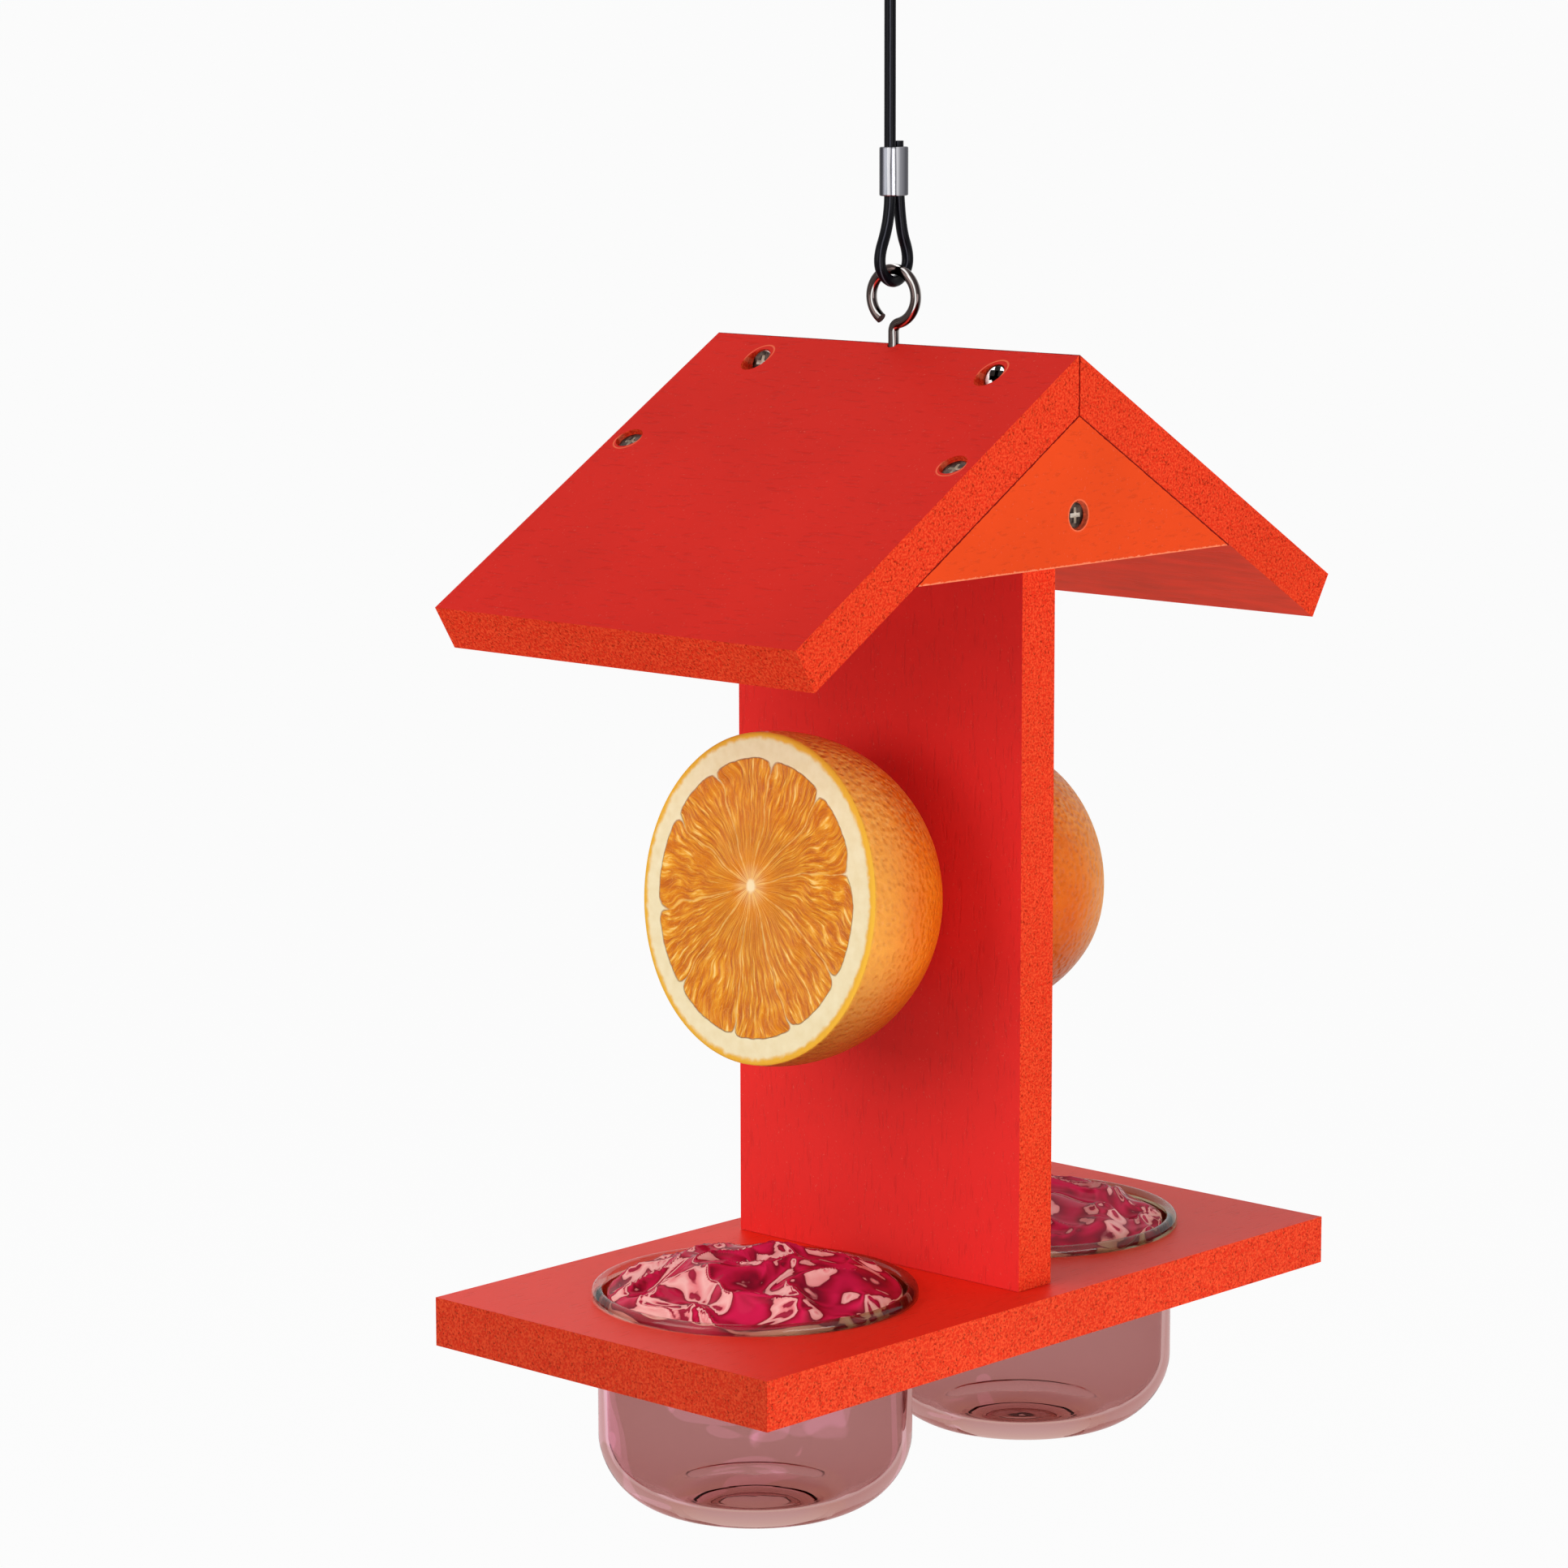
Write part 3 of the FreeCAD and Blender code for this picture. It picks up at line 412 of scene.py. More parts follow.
def add_steel(tree, surface, scale, low, high, dark, light):
    """Worn metal over the whole surface; returns its colour, for the caller to link."""
    surface.inputs["Metallic"].default_value = 1.0
    wear = ramp(tree, speckle(tree, place(tree), scale, 3.0), (low, 0.0), (high, 1.0))
    tree.links.new(ramp(tree, wear, (0.0, 0.28), (1.0, 0.42)), surface.inputs["Roughness"])
    add_bump(tree, surface, wear, 0.03 * MM, 0.4)
    return mix(tree, wear, dark, light)


def spike_material():
    material, tree, surface = new_material("spike_steel")
    steel = add_steel(tree, surface, 900.0, 0.35, 0.65, SPIKE_DARK, SPIKE_LIGHT)
    tree.links.new(steel, surface.inputs["Base Color"])
    return material


def screw_material(name, obj):
    """A plated screw with a flat top of one tone, and its cross recess and side of another: painted
    shade on the bright head, painted glints on the dark ones.
    """
    dark, light, cross = BRIGHT_HEAD if name == BRIGHT_SCREW else DARK_HEAD
    axis = screw_axis(name)
    material, tree, surface = new_material(name)
    steel = add_steel(tree, surface, 520.0, 0.4, 0.62, dark, light)
    top = max(vertex.co.dot(axis) for vertex in obj.data.vertices)
    on_top = banded(tree, dot(tree, place(tree), axis), top - 0.25 * MM, top - 0.05 * MM)
    # The recess and side take the third tone, painted shade on the bright head and painted glints
    # on the dark ones
    head = mix(tree, on_top, cross, steel)
    if name == BRIGHT_SCREW:
        # A painted cross of shade on the bright head, wider than the modelled recess
        aside, reach = from_screw_axis(tree, name)
        lean = math.atan2(-axis.x, axis.z)
        upright = node(tree, "VectorRotate", {"Vector": aside, "Angle": lean},
                       rotation_type="Y_AXIS").outputs[0]
        arms = [banded(tree, maths(tree, "ABSOLUTE", share), *CROSS_HALF_WIDTH)
                for share in parts_of(tree, upright)[:2]]
        painted_cross_shade = times(tree, maths(tree, "MAXIMUM", *arms),
                         banded(tree, reach, *CROSS_HALF_LENGTH))
        head = mix(tree, painted_cross_shade, head, cross)
    tree.links.new(head, surface.inputs["Base Color"])
    return material


def eye_material():
    """Bright wire with painted reflections: dark and light bands set by which way the wire faces.
    """
    material, tree, surface = new_material("eye_chrome")
    surface.inputs["Metallic"].default_value = 1.0
    side = facing(tree, (TO_RIGHT[0], TO_RIGHT[1], 0.1))
    sway = maths(tree, "MULTIPLY_ADD", speckle(tree, place(tree), 120.0, 1.0), 0.4, -0.2)
    band = maths(tree, "MULTIPLY_ADD", maths(tree, "ADD", side, sway), 0.5, 0.5)
    reflection_bands = ramp(tree, band, (0.0, rgb(60, 50, 48)), (0.38, rgb(62, 52, 50)),
                 (0.44, rgb(250, 246, 242)), (0.5, rgb(250, 248, 246)), (0.56, rgb(74, 64, 62)),
                 (0.82, rgb(42, 36, 36)), (1.0, rgb(170, 162, 158)))
    tree.links.new(reflection_bands, surface.inputs["Base Color"])
    surface.inputs["Roughness"].default_value = 0.12
    return material


def ferrule_material():
    """Drawn aluminium, with streaks along it, and painted reflections: dark and light bands laid
    across it as the camera sees it.
    """
    material, tree, surface = new_material("ferrule_aluminium")
    surface.inputs["Metallic"].default_value = 1.0
    wear = speckle(tree, place(tree, (900, 900, 60)), 1.0, 2.0)
    across = maths(tree, "MULTIPLY_ADD", wear, 0.5 * MM, dot(tree, place(tree), TO_RIGHT))
    reflection_bands = ramp(tree, banded(tree, across, -2.9 * MM, 3.4 * MM, "LINEAR"),
                 (0.0, rgb(50, 50, 56)), (0.1, rgb(110, 110, 116)), (0.2, rgb(122, 124, 130)),
                 (0.26, rgb(208, 208, 212)), (0.34, rgb(196, 196, 200)), (0.38, rgb(36, 36, 44)),
                 (0.43, rgb(158, 158, 164)), (0.5, rgb(176, 176, 180)), (0.56, rgb(44, 44, 50)),
                 (0.63, rgb(204, 204, 208)), (0.74, rgb(140, 140, 146)), (1.0, rgb(78, 78, 84)))
    tree.links.new(reflection_bands, surface.inputs["Base Color"])
    surface.inputs["Roughness"].default_value = 0.38
    add_bump(tree, surface, wear, 0.02 * MM, 0.2)
    return material


def glass_material(name):
    """Glass that takes the jelly's colour below the board and is greenish at its rim."""
    material, tree, surface = new_material(name)
    centre, foot = middle_of(name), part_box(name)[0].z
    from_axis = place(tree, offset=(-centre.x, -centre.y, 0))
    east, north, height = parts_of(tree, from_axis)
    reach = maths(tree, "SQRT", maths(tree, "MULTIPLY_ADD", east, east, times(tree, north, north)))
    rim_tint = mix(tree, banded(tree, dot(tree, from_axis, TO_RIGHT), -20 * MM, 34 * MM),
                   RIM_CLEAR, RIM_OLIVE)
    on_foot = times(tree, banded(tree, reach, 14 * MM, 18 * MM),
                    banded(tree, reach, 24 * MM, 21 * MM),
                    banded(tree, height, foot + 9 * MM, foot + 6 * MM))
    body_tint = mix(tree, times(tree, on_foot, 0.8), BODY_TINT, FOOT_TINT)
    glints = node(tree, "TexNoise", {"Vector": place(tree, (1, 1, 0.6)), "Scale": 42.0,
                                     "Detail": 0.5, "Distortion": 1.2}).outputs[0]
    body_tint = mix(tree, times(tree, banded(tree, glints, 0.685, 0.7), 0.8), body_tint, GLINT_PINK)
    on_rim = banded(tree, height, BASE_BOTTOM, BASE_TOP)
    tree.links.new(mix(tree, on_rim, body_tint, rim_tint), surface.inputs["Base Color"])
    surface.inputs["Transmission Weight"].default_value = 1.0
    surface.inputs["IOR"].default_value = GLASS_IOR
    tree.links.new(times(tree, on_rim, 0.55), surface.inputs["Coat Weight"])
    surface.inputs["Coat Roughness"].default_value = 0.06
    smear = speckle(tree, place(tree), 60.0, 2.0)
    tree.links.new(times(tree, ramp(tree, smear, (0.45, 0.0), (0.9, 0.04)), on_rim),
                   surface.inputs["Roughness"])
    add_bump(tree, surface, smear, 0.4 * MM, 0.2)
    inside = node(tree, "VolumeAbsorption", {"Color": THICK_TINT, "Density": THICK_DENSITY})
    tree.links.new(inside.outputs[0], tree.nodes["Material Output"].inputs["Volume"])
    return material


def jacket_material():
    """Black vinyl with a thin pale line where it catches the light."""
    material, tree, surface = new_material("cable_jacket")
    marks = speckle(tree, place(tree), 300.0, 2.0)
    black = mix(tree, marks, rgb(6, 6, 9), rgb(14, 14, 20))
    side = maths(tree, "MULTIPLY_ADD", marks, 0.08, facing(tree, TO_RIGHT))
    line = times(tree, banded(tree, side, -0.12, 0.0), banded(tree, side, 0.2, 0.08),
                 banded(tree, facing(tree, TO_CAMERA), 0.0, 0.2))
    black = mix(tree, times(tree, line, 0.5), black, rgb(96, 98, 108))
    tree.links.new(black, surface.inputs["Base Color"])
    tree.links.new(ramp(tree, marks, (0.3, 0.24), (0.7, 0.32)), surface.inputs["Roughness"])
    surface.inputs["Specular IOR Level"].default_value = 0.05
    add_bump(tree, surface, marks, 0.02 * MM, 0.15)
    return material


def dress_fittings():
    aluminium = ferrule_material()
    for name, obj in NODES.items():
        if "_screw_" in name:
            dress(obj, screw_material(name, obj))
        elif name == "fruit_spike":
            dress(obj, spike_material())
        elif name == "eye_screw":
            dress(obj, eye_material())
        elif name.startswith("ferrule"):
            dress(obj, aluminium)
        elif name.startswith("cup"):
            dress(obj, glass_material(name))


# Meshes


def add_piece(name, vertices, faces, material, replaced, stand=None):
    """A smooth piece of the feeder's body, in place of a CAD node."""
    mesh = bpy.data.meshes.new(name)
    mesh.from_pydata(vertices, [], faces)
    mesh.validate()
    for face in mesh.polygons:
        face.use_smooth = True
    mesh.materials.append(material)
    piece = bpy.data.objects.new(name, mesh)
    bpy.context.scene.collection.objects.link(piece)
    if stand is not None:
        piece.matrix_world = stand
    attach(piece, "feeder")
    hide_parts(replaced)
    return piece


def ring_faces(rings, steps):
    """Quads between rings of vertices, each ring closed on itself."""
    faces = []
    for ring in range(rings - 1):
        here, above = ring * steps, (ring + 1) * steps
        for step in range(steps):
            following = (step + 1) % steps
            faces.append((here + step, here + following, above + following, above + step))
    return faces


# Orange halves


PULP_TONES = (
    (0.3, rgb(186, 90, 0)), (0.44, rgb(206, 112, 2)), (0.52, rgb(218, 130, 8)),
    (0.61, rgb(234, 162, 42)), (0.69, rgb(250, 206, 118)),
)
# A pale yellow for thin threads of painted sheen over the juice sacs, then the core's star and the
# segment walls
SHEEN_THREAD_YELLOW, STAR_CREAM, WALL_YELLOW = rgb(240, 178, 74), rgb(246, 218, 160), rgb(240, 192, 104)
PITH_LIGHT, PITH_DARK, CORE_CREAM = rgb(241, 231, 196), rgb(223, 204, 154), rgb(244, 222, 176)
RIND_YELLOW = rgb(228, 172, 52)


def pulp_material(name, scale):
    """Cut face, flat in its piece's own X and Y: segments of juice sacs, core, pith and rind."""
    material, tree, surface = new_material(name)
    here = place(tree, (scale, scale, scale))
    here_across, here_up, _ = parts_of(tree, here)

    def distance(across, up):
        dx = maths(tree, "SUBTRACT", here_across, across)
        dy = maths(tree, "SUBTRACT", here_up, up)
        square = maths(tree, "ADD", times(tree, dx, dx), times(tree, dy, dy))
        return dx, dy, maths(tree, "SQRT", square)

    face_radius = distance(0.0, 0.0)[2]
    pulp_radius = distance(PULP_ACROSS, 0.0)[2]
    across, up, radius = distance(CORE_ACROSS, CORE_UP)
    wander = speckle(tree, here, 45.0, 2.0)
    shiver = speckle(tree, here, 420.0, 2.0)
    angle = maths(tree, "ADD", maths(tree, "ARCTAN2", up, across),
                  maths(tree, "MULTIPLY_ADD", wander, 0.6, 0.1))

    segment = math.tau / SEGMENTS
    turns = maths(tree, "FRACT", times(tree, angle, 1 / segment))
    from_middle = maths(tree, "ABSOLUTE", maths(tree, "SUBTRACT", turns, 0.5))
    to_wall = times(tree, maths(tree, "SUBTRACT", 0.5, from_middle), times(tree, radius, segment))
    to_rim = maths(tree, "SUBTRACT", PULP_RADIUS, pulp_radius)
    outer = maths(tree, "SMOOTH_MIN", to_wall, to_rim, 6 * MM)
    rough_edge = maths(tree, "MULTIPLY_ADD", shiver, 0.7 * MM, -0.2 * MM)
    in_pulp = banded(tree, maths(tree, "ADD", outer, rough_edge), -0.1 * MM, 0.35 * MM)
    in_wall = banded(tree, maths(tree, "ADD", to_wall, rough_edge), 0.5 * MM, 0.1 * MM)
    inside = banded(tree, to_rim, 1.0 * MM, 5.0 * MM)

    def streaks(per_turn, per_metre, detail, bend):
        """Noise drawn out from the core, narrow at it and wide at the rim."""
        spot = node(tree, "CombineXYZ", {
            0: times(tree, angle, per_turn),
            1: maths(tree, "MULTIPLY_ADD", radius, per_metre, times(tree, wander, bend)),
        }).outputs[0]
        return node(tree, "TexNoise", {"Vector": spot, "Scale": 1.0, "Detail": detail,
                                       "Roughness": 0.55, "Distortion": 0.3}).outputs[0]

    sacs = streaks(27.0, 150.0, 3.0, 1.6)
    fibres = streaks(42.0, 55.0, 3.0, 1.2)
    near_core = banded(tree, radius, 24 * MM, 6 * MM)
    pattern = node(tree, "Mix", {0: near_core, 2: sacs, 3: fibres}, data_type="FLOAT").outputs[0]

    pulp = ramp(tree, pattern, *PULP_TONES)
    # Thin pale threads over the juice sacs: a painted wet sheen
    lines = maths(tree, "SUBTRACT", streaks(30.0, 260.0, 2.0, 0.0), 0.47)
    sheen_threads = ramp(tree, maths(tree, "ABSOLUTE", lines), (0.0, 1.0), (0.022, 0.0))
    pulp = mix(tree, times(tree, sheen_threads, 0.45), pulp, SHEEN_THREAD_YELLOW)
    star_edge = maths(tree, "MULTIPLY_ADD", fibres, -18 * MM, maths(tree, "ADD", radius, 9 * MM))
    star = banded(tree, star_edge, 7 * MM, 1.5 * MM)
    pulp = mix(tree, times(tree, star, 0.4), pulp, STAR_CREAM)
    pulp = mix(tree, times(tree, in_wall, inside, 0.75), pulp, WALL_YELLOW)

    pith = mix(tree, speckle(tree, here, 300.0, 3.0), PITH_LIGHT, PITH_DARK)
    to_pith = maths(tree, "MAXIMUM", in_pulp, inside)
    face = mix(tree, to_pith, pith, pulp)
    core = banded(tree, maths(tree, "MULTIPLY_ADD", shiver, 1.5 * MM, radius),
                  CORE_RADIUS + 1.2 * MM, CORE_RADIUS)
    face = mix(tree, core, face, CORE_CREAM)
    edge = maths(tree, "MULTIPLY_ADD", shiver, 1.8 * MM, face_radius)
    rind_start = CUT_RADIUS - PEEL_WIDTH
    face = mix(tree, banded(tree, edge, rind_start, rind_start + 1.4 * MM), face, RIND_YELLOW)
    tree.links.new(face, surface.inputs["Base Color"])
    tree.links.new(ramp(tree, to_pith, (0.0, 0.7), (1.0, 0.22)), surface.inputs["Roughness"])
    surface.inputs["Specular IOR Level"].default_value = 0.16

    off_core = banded(tree, radius, 5 * MM, 16 * MM)
    swell = maths(tree, "MULTIPLY_ADD", times(tree, pattern, off_core), 2.2, 0.3)
    add_bump(tree, surface, times(tree, to_pith, swell), 0.4 * MM)
    return material


PEEL_TONES = (0.3, rgb(216, 90, 6)), (0.52, rgb(230, 110, 14)), (0.75, rgb(240, 132, 30))
# Painted shade over the whole peel, the paler peel near the cut, and painted highlights on top;
# then painted shade beneath, the rind's edge and the pores
PEEL_SHADE_TONE, PEEL_NEAR_CUT, PEEL_TOP_HIGHLIGHT = rgb(186, 62, 8), rgb(242, 180, 80), rgb(244, 198, 120)
PEEL_SHADE_BENEATH, PEEL_EDGE, PORE_BROWN = rgb(132, 58, 20), rgb(226, 168, 52), rgb(186, 72, 8)


def peel_material(name, rind_height, painted_shade):
    """Pored peel, paler towards the cut, which lies at a height on the piece's own Z, with painted
    highlights speckled on top, painted shade beneath, and a share of painted shade over all.
    """
    material, tree, surface = new_material(name)
    here = place(tree)
    pores = node(tree, "TexVoronoi", {"Vector": here, "Scale": 620.0}, feature="SMOOTH_F1")
    pit = ramp(tree, pores.outputs["Distance"], (0.0, 1.0), (0.55, 0.0))
    peel = ramp(tree, speckle(tree, here, 30.0, 3.0), *PEEL_TONES)
    height = parts_of(tree, here)[2]
    near_cut = banded(tree, height, rind_height - 20 * MM, rind_height - 1 * MM)
    peel = mix(tree, times(tree, near_cut, 0.6), peel, PEEL_NEAR_CUT)
    # Painted shade darkening the whole peel, by the share given
    peel = mix(tree, painted_shade, peel, PEEL_SHADE_TONE)
    # Painted highlights speckled over the faces that look up, and painted shade on those that look
    # down
    upwards = facing(tree, (0, 1, 0))
    top_highlight = times(tree, ramp(tree, speckle(tree, here, 700.0, 3.0, 0.7), (0.42, 0.0), (0.62, 1.0)),
                 banded(tree, upwards, 0.1, 0.9))
    peel = mix(tree, times(tree, top_highlight, 0.4), peel, PEEL_TOP_HIGHLIGHT)
    peel = mix(tree, times(tree, banded(tree, upwards, -0.1, -0.9), 0.8), peel, PEEL_SHADE_BENEATH)
    at_cut = banded(tree, height, rind_height - 1.6 * MM, rind_height - 0.4 * MM)
    peel = mix(tree, times(tree, at_cut, 0.7), peel, PEEL_EDGE)
    peel = mix(tree, times(tree, pit, 0.22), peel, PORE_BROWN)
    tree.links.new(peel, surface.inputs["Base Color"])
    surface.inputs["Roughness"].default_value = 0.36
    surface.inputs["Specular IOR Level"].default_value = 0.15
    surface.inputs["Subsurface Weight"].default_value = 0.06
    surface.inputs["Subsurface Radius"].default_value = (3 * MM, 1.5 * MM, 0.8 * MM)
    lumps = speckle(tree, here, 150.0, 4.0, 0.6)
    relief = maths(tree, "MULTIPLY_ADD", pit, -0.9, times(tree, lumps, 1.6))
    add_bump(tree, surface, relief, 0.45 * MM)
    return material


def orange_half(side, sign):
    """Peel and cut face, drawn round the cut's own normal, with the peel flat on the post."""
    sizes, leans = ORANGES[side]
    radius, flat, offset, across, rise = (size * MM for size in sizes)
    tilt, turn = (math.radians(lean) for lean in leans)
    cad_name = f"orange_half_{side}"
    low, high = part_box(cad_name)
    flat_x = high.x if sign < 0 else low.x
    middle = Vector((flat_x + sign * (radius - flat), across, SPIKE_Z + rise))
    outwards = Vector((sign * math.cos(tilt) * math.cos(turn), math.cos(tilt) * math.sin(turn),
                       math.sin(tilt)))
    to_side = Vector((0, 0, 1)).cross(outwards).normalized()
    axes = Matrix((to_side, outwards.cross(to_side), outwards)).transposed()
    stand = Matrix.Translation(middle) @ axes.to_4x4()
    from_stand = stand.inverted()
    steps, rings = 180, 80

    def turn_round(profile):
        """Rings of vertices round the cut's normal, each at a height and a reach."""
        spots = []
        for height, reach in profile:
            for step in range(steps):
                angle = math.tau * step / steps
                spots.append(Vector((reach * math.cos(angle), reach * math.sin(angle), height)))
        return spots

    cut_angle = math.asin(offset / radius)
    start, stop = 0.02 - math.pi / 2, cut_angle - math.radians(0.8)
    angles = [start + (stop - start) * ring / rings for ring in range(rings + 1)]
    profile = [(radius * math.sin(angle), radius * math.cos(angle)) for angle in angles]
    peel = []
    for spot in turn_round(profile):
        spot = stand @ spot
        if sign * (spot.x - flat_x) < 0:
            spot.x = flat_x
        peel.append(from_stand @ spot)
    look = peel_material(f"orange_peel_{side}", offset, PEEL_PAINTED_SHADE[side])
    add_piece(f"orange_peel_{side}", peel, ring_faces(len(profile), steps), look, cad_name, stand)

    edge = radius * math.cos(cut_angle)
    face = [profile[-1], (offset - 0.12 * MM, edge - 0.2 * MM), (offset, edge - 0.8 * MM)]
    face += [(offset - 0.1 * MM, edge * share) for share in (0.96, 0.9, 0.8, 0.6, 0.3, 0.1, 0.001)]
    look = pulp_material(f"orange_pulp_{side}", CUT_RADIUS / edge)
    faces = ring_faces(len(face), steps)
    add_piece(f"orange_face_{side}", turn_round(face), faces, look, cad_name, stand)


# Jelly


# Crimson tones and the pale pinks of a painted sheen, looked up by which way the surface faces
JELLY_TONES_AND_PAINTED_SHEEN = (
    (0.25, rgb(222, 24, 80)), (0.37, rgb(170, 8, 46)), (0.445, rgb(112, 4, 28)),
    (0.46, rgb(240, 150, 148)), (0.56, rgb(255, 190, 184)), (0.625, rgb(240, 130, 134)),
    (0.635, rgb(150, 6, 40)), (0.71, rgb(210, 16, 72)),
)
# A clear tint lower down, and the paler tone screened over the top as painted light
JELLY_CLEAR, JELLY_PAINTED_LIGHT_TONE = (0.96, 0.9, 0.9, 1), rgb(150, 60, 80)
BENEATH_SHARES = (
    0.02, 0.2, 0.4, 0.55, 0.62, 0.7, 0.78, 0.85, 0.9, 0.94, 0.97, 0.985, 0.995, 0.999,
)


def jelly_material(name, painted_light):
    """Glossy crimson on top, with a pale painted sheen that follows its folds and a paler tone
    screened over it as painted light, and clear lower down.
    """
    material, tree, surface = new_material(name)
    near_top = banded(tree, parts_of(tree, place(tree))[2], BASE_TOP - 9 * MM, BASE_TOP - 2 * MM)
    # Painted sheen: pale pink patches set by the surface's direction
    painted_sheen = node(tree, "TexNoise", {"Vector": node(tree, "TexCoord").outputs["Normal"],
                                    "Scale": 1.5, "Detail": 0.3, "Distortion": 0.4}).outputs[0]
    top = mix(tree, painted_light, ramp(tree, painted_sheen, *JELLY_TONES_AND_PAINTED_SHEEN), JELLY_PAINTED_LIGHT_TONE, "SCREEN")
    tree.links.new(mix(tree, near_top, JELLY_CLEAR, top), surface.inputs["Base Color"])
    for socket, below, above in (
        ("Transmission Weight", 1.0, 0.0), ("Coat Weight", 0.0, 0.18),
        ("Specular IOR Level", 0.0, 0.5), ("Roughness", 0.0, 0.1),
    ):
        tree.links.new(ramp(tree, near_top, (0.0, below), (1.0, above)), surface.inputs[socket])
    surface.inputs["IOR"].default_value = 1.03
    surface.inputs["Coat IOR"].default_value = 1.5
    surface.inputs["Coat Roughness"].default_value = 0.03
    return material


def fold(across, along, shift):
    """Spooned jelly's folds, from about -1 to 1: sharp crests with smooth scoops between."""
    spot = Vector((across, along, 0)) / FOLD_WIDTH + Vector((shift, 2 * shift, 0))
    bent = spot + 0.8 * noise.noise_vector(spot * 0.8)
    crests = 1 - 2.4 * abs(noise.noise(bent)) ** 0.75
    small = 1 - 2.4 * abs(noise.noise(bent * 2.1 + Vector((7, 3, 1)))) ** 0.75
    return 0.92 * crests + 0.08 * small


def jelly(side, sign):
    """The CAD solid's outer shape, with folds over its top that fade towards its edge."""
    noise.seed_set(FOLD_SEED)
    cad_name = f"jelly_{side}"
    cad = BVHTree.FromObject(NODES[cad_name], bpy.context.evaluated_depsgraph_get())
    low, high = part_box(cad_name)
    centre = middle_of(cad_name)
    steps, rings = 200, 72
    full = (high.x - low.x) / 2 - 0.02 * MM
    vertices = []

    def bottom(across):
        below = Vector((centre.x + across, 0, low.z - 1 * MM))
        return cad.ray_cast(below, Vector((0, 0, 1)))[0].z

    def top(across, along, swing):
        above = Vector((centre.x + across * 0.998, along * 0.998, high.z + 1 * MM))
        level = cad.ray_cast(above, Vector((0, 0, -1)))[0].z
        return level + FOLD_HEIGHT * swing * fold(across, along, FOLD_SHIFT * sign)

    def add_ring(radius, height_at):
        for step in range(steps):
            angle = math.tau * step / steps
            across, along = radius * math.cos(angle), radius * math.sin(angle)
            vertices.append((centre.x + across, along, height_at(across, along)))

    for share in BENEATH_SHARES:
        height = bottom(full * share)
        add_ring(full * share, lambda across, along, height=height: height)
    for depth in (30, 20, 10, 4):
        add_ring(full, lambda across, along, depth=depth: BASE_TOP - depth * MM)
    for ring in range(rings):
        swing = min(1.0, 0.25 + 8 * ring / rings)
        add_ring(full * (1 - ring / rings),
                 lambda across, along, swing=swing: top(across, along, swing))
    count = len(vertices)
    vertices.append((centre.x, 0, top(0, 0, 1.0)))
    faces = ring_faces(count // steps, steps)
    last_ring = count - steps
    faces += [(last_ring + step, last_ring + (step + 1) % steps, count) for step in range(steps)]
    look = jelly_material(f"jelly_{side}", JELLY_PAINTED_LIGHT[side])
    piece = add_piece(f"jelly_heap_{side}", vertices, faces, look, cad_name)


# Cable


def cable():
    """A round line through the ferrules, with a loop at each end."""
    curve = bpy.data.curves.new("cable_line", "CURVE")
    curve.dimensions = "3D"
    curve.bevel_depth = CABLE_DIAMETER / 2
    curve.bevel_resolution = 6
    curve.resolution_u = 24
    curve.use_fill_caps = True
    spline = curve.splines.new("NURBS")
    spline.points.add(len(CABLE_ROUTE) - 1)
    for point, (across, up) in zip(spline.points, CABLE_ROUTE):
        spot = Vector((across * math.cos(CABLE_TURN), across * math.sin(CABLE_TURN), up)) * MM
        point.co = (*spot, 1)
    spline.order_u = 3
    spline.use_endpoint_u = True
    line = bpy.data.objects.new("cable_line", curve)
    curve.materials.append(jacket_material())
    bpy.context.scene.collection.objects.link(line)
    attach(line, "hanger")
    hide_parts("cable")


# Camera, light and floor


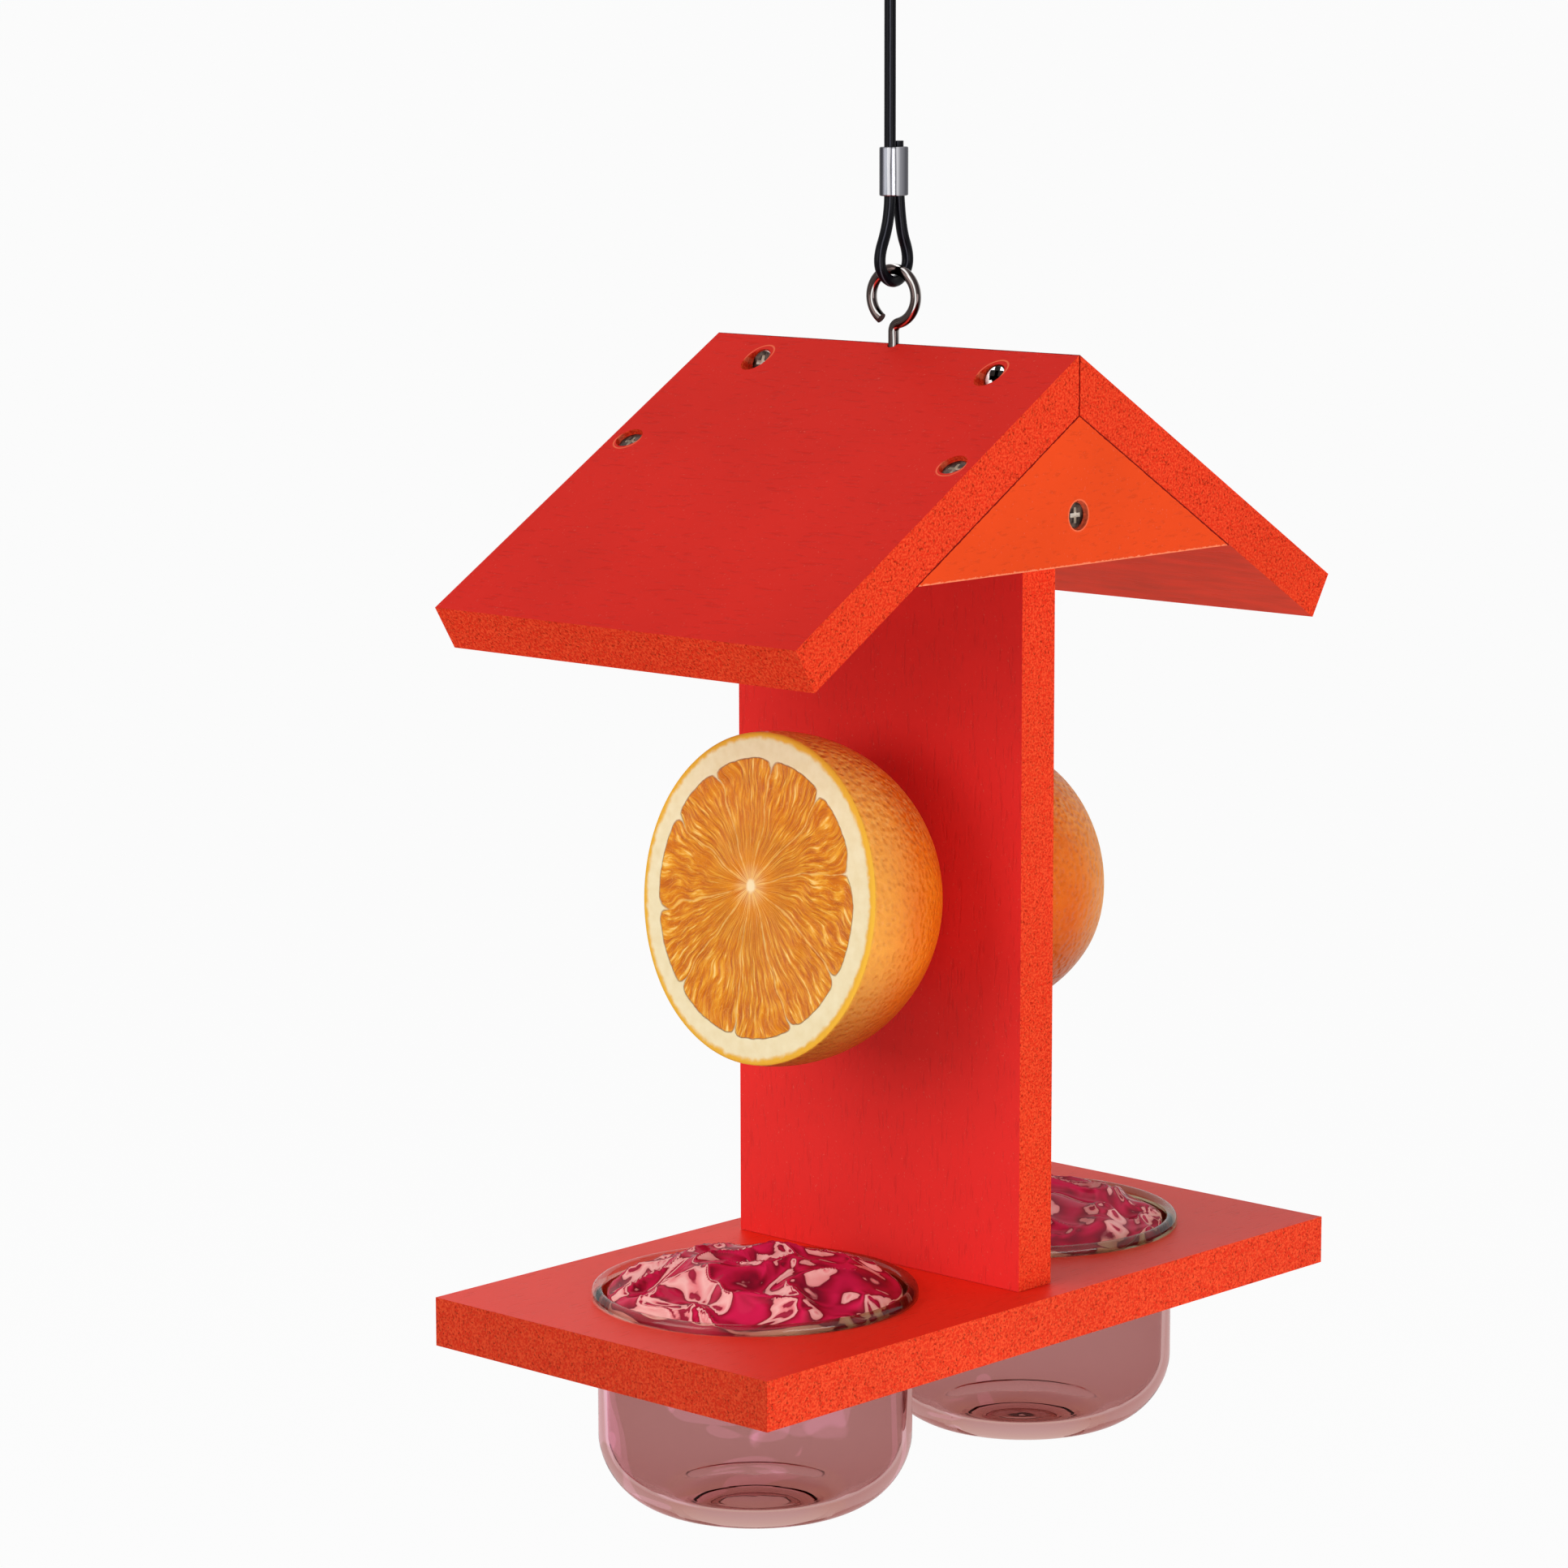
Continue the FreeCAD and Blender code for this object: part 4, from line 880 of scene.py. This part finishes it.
def add_camera():
    lens = bpy.data.cameras.new("camera")
    lens.lens, lens.sensor_width = CAMERA_LENS, CAMERA_SENSOR
    camera = bpy.data.objects.new("camera", lens)
    aim = Euler((math.radians(90 - CAMERA_PITCH), 0, math.radians(-CAMERA_YAW))).to_matrix()
    roll = Matrix.Rotation(math.radians(CAMERA_ROLL), 3, "Z")
    camera.matrix_world = Matrix.Translation(CAMERA_PLACE) @ (aim @ roll).to_4x4()
    bpy.context.scene.collection.objects.link(camera)
    bpy.context.scene.camera = camera


def add_lamp(name, spot, size, power):
    lamp = bpy.data.lights.new(name, "AREA")
    lamp.size, lamp.energy = size, power
    obj = bpy.data.objects.new(name, lamp)
    obj.location = spot
    obj.rotation_euler = (Vector(LAMP_TARGET) - Vector(spot)).to_track_quat("-Z", "Y").to_euler()
    bpy.context.scene.collection.objects.link(obj)


def add_world():
    """Soft light from all round, and plain white where the camera looks past the floor."""
    world = bpy.data.worlds.new("studio")
    bpy.context.scene.world = world
    world.use_nodes = True
    tree = world.node_tree
    background = tree.nodes["Background"]
    background.inputs["Color"].default_value = (1, 1, 1, 1)
    strength = node(tree, "MapRange", {
        "Value": seen_ray(tree), "To Min": WORLD_LEVEL, "To Max": 1.0,
    }).outputs[0]
    tree.links.new(strength, background.inputs["Strength"])


def add_floor():
    """A white floor well below the hanging feeder, which keeps a little of its shadow."""
    material, tree, surface = new_material("floor")
    surface.inputs["Base Color"].default_value = (0.9, 0.9, 0.9, 1)
    surface.inputs["Roughness"].default_value = 1.0
    white = node(tree, "Emission", {0: (1, 1, 1, 1), 1: 1.0})
    share = times(tree, seen_ray(tree), FLOOR_WHITENESS)
    shown = node(tree, "MixShader", {0: share, 1: surface.outputs[0], 2: white.outputs[0]})
    tree.links.new(shown.outputs[0], tree.nodes["Material Output"].inputs[0])
    mesh = bpy.data.meshes.new("floor")
    reach = FLOOR_REACH
    corners = [(-reach, -reach), (reach, -reach), (reach, reach), (-reach, reach)]
    mesh.from_pydata([(x, y, FLOOR_Z) for x, y in corners], [], [(0, 1, 2, 3)])
    mesh.materials.append(material)
    floor = bpy.data.objects.new("floor", mesh)
    bpy.context.scene.collection.objects.link(floor)


add_camera()
cable()
dress_boards()
dress_fittings()
for side, sign in SIDES.items():
    orange_half(side, sign)
    jelly(side, sign)
for name, lamp in LAMPS.items():
    add_lamp(name, *lamp)
add_world()
add_floor()
bpy.context.scene.view_settings.view_transform = "Standard"
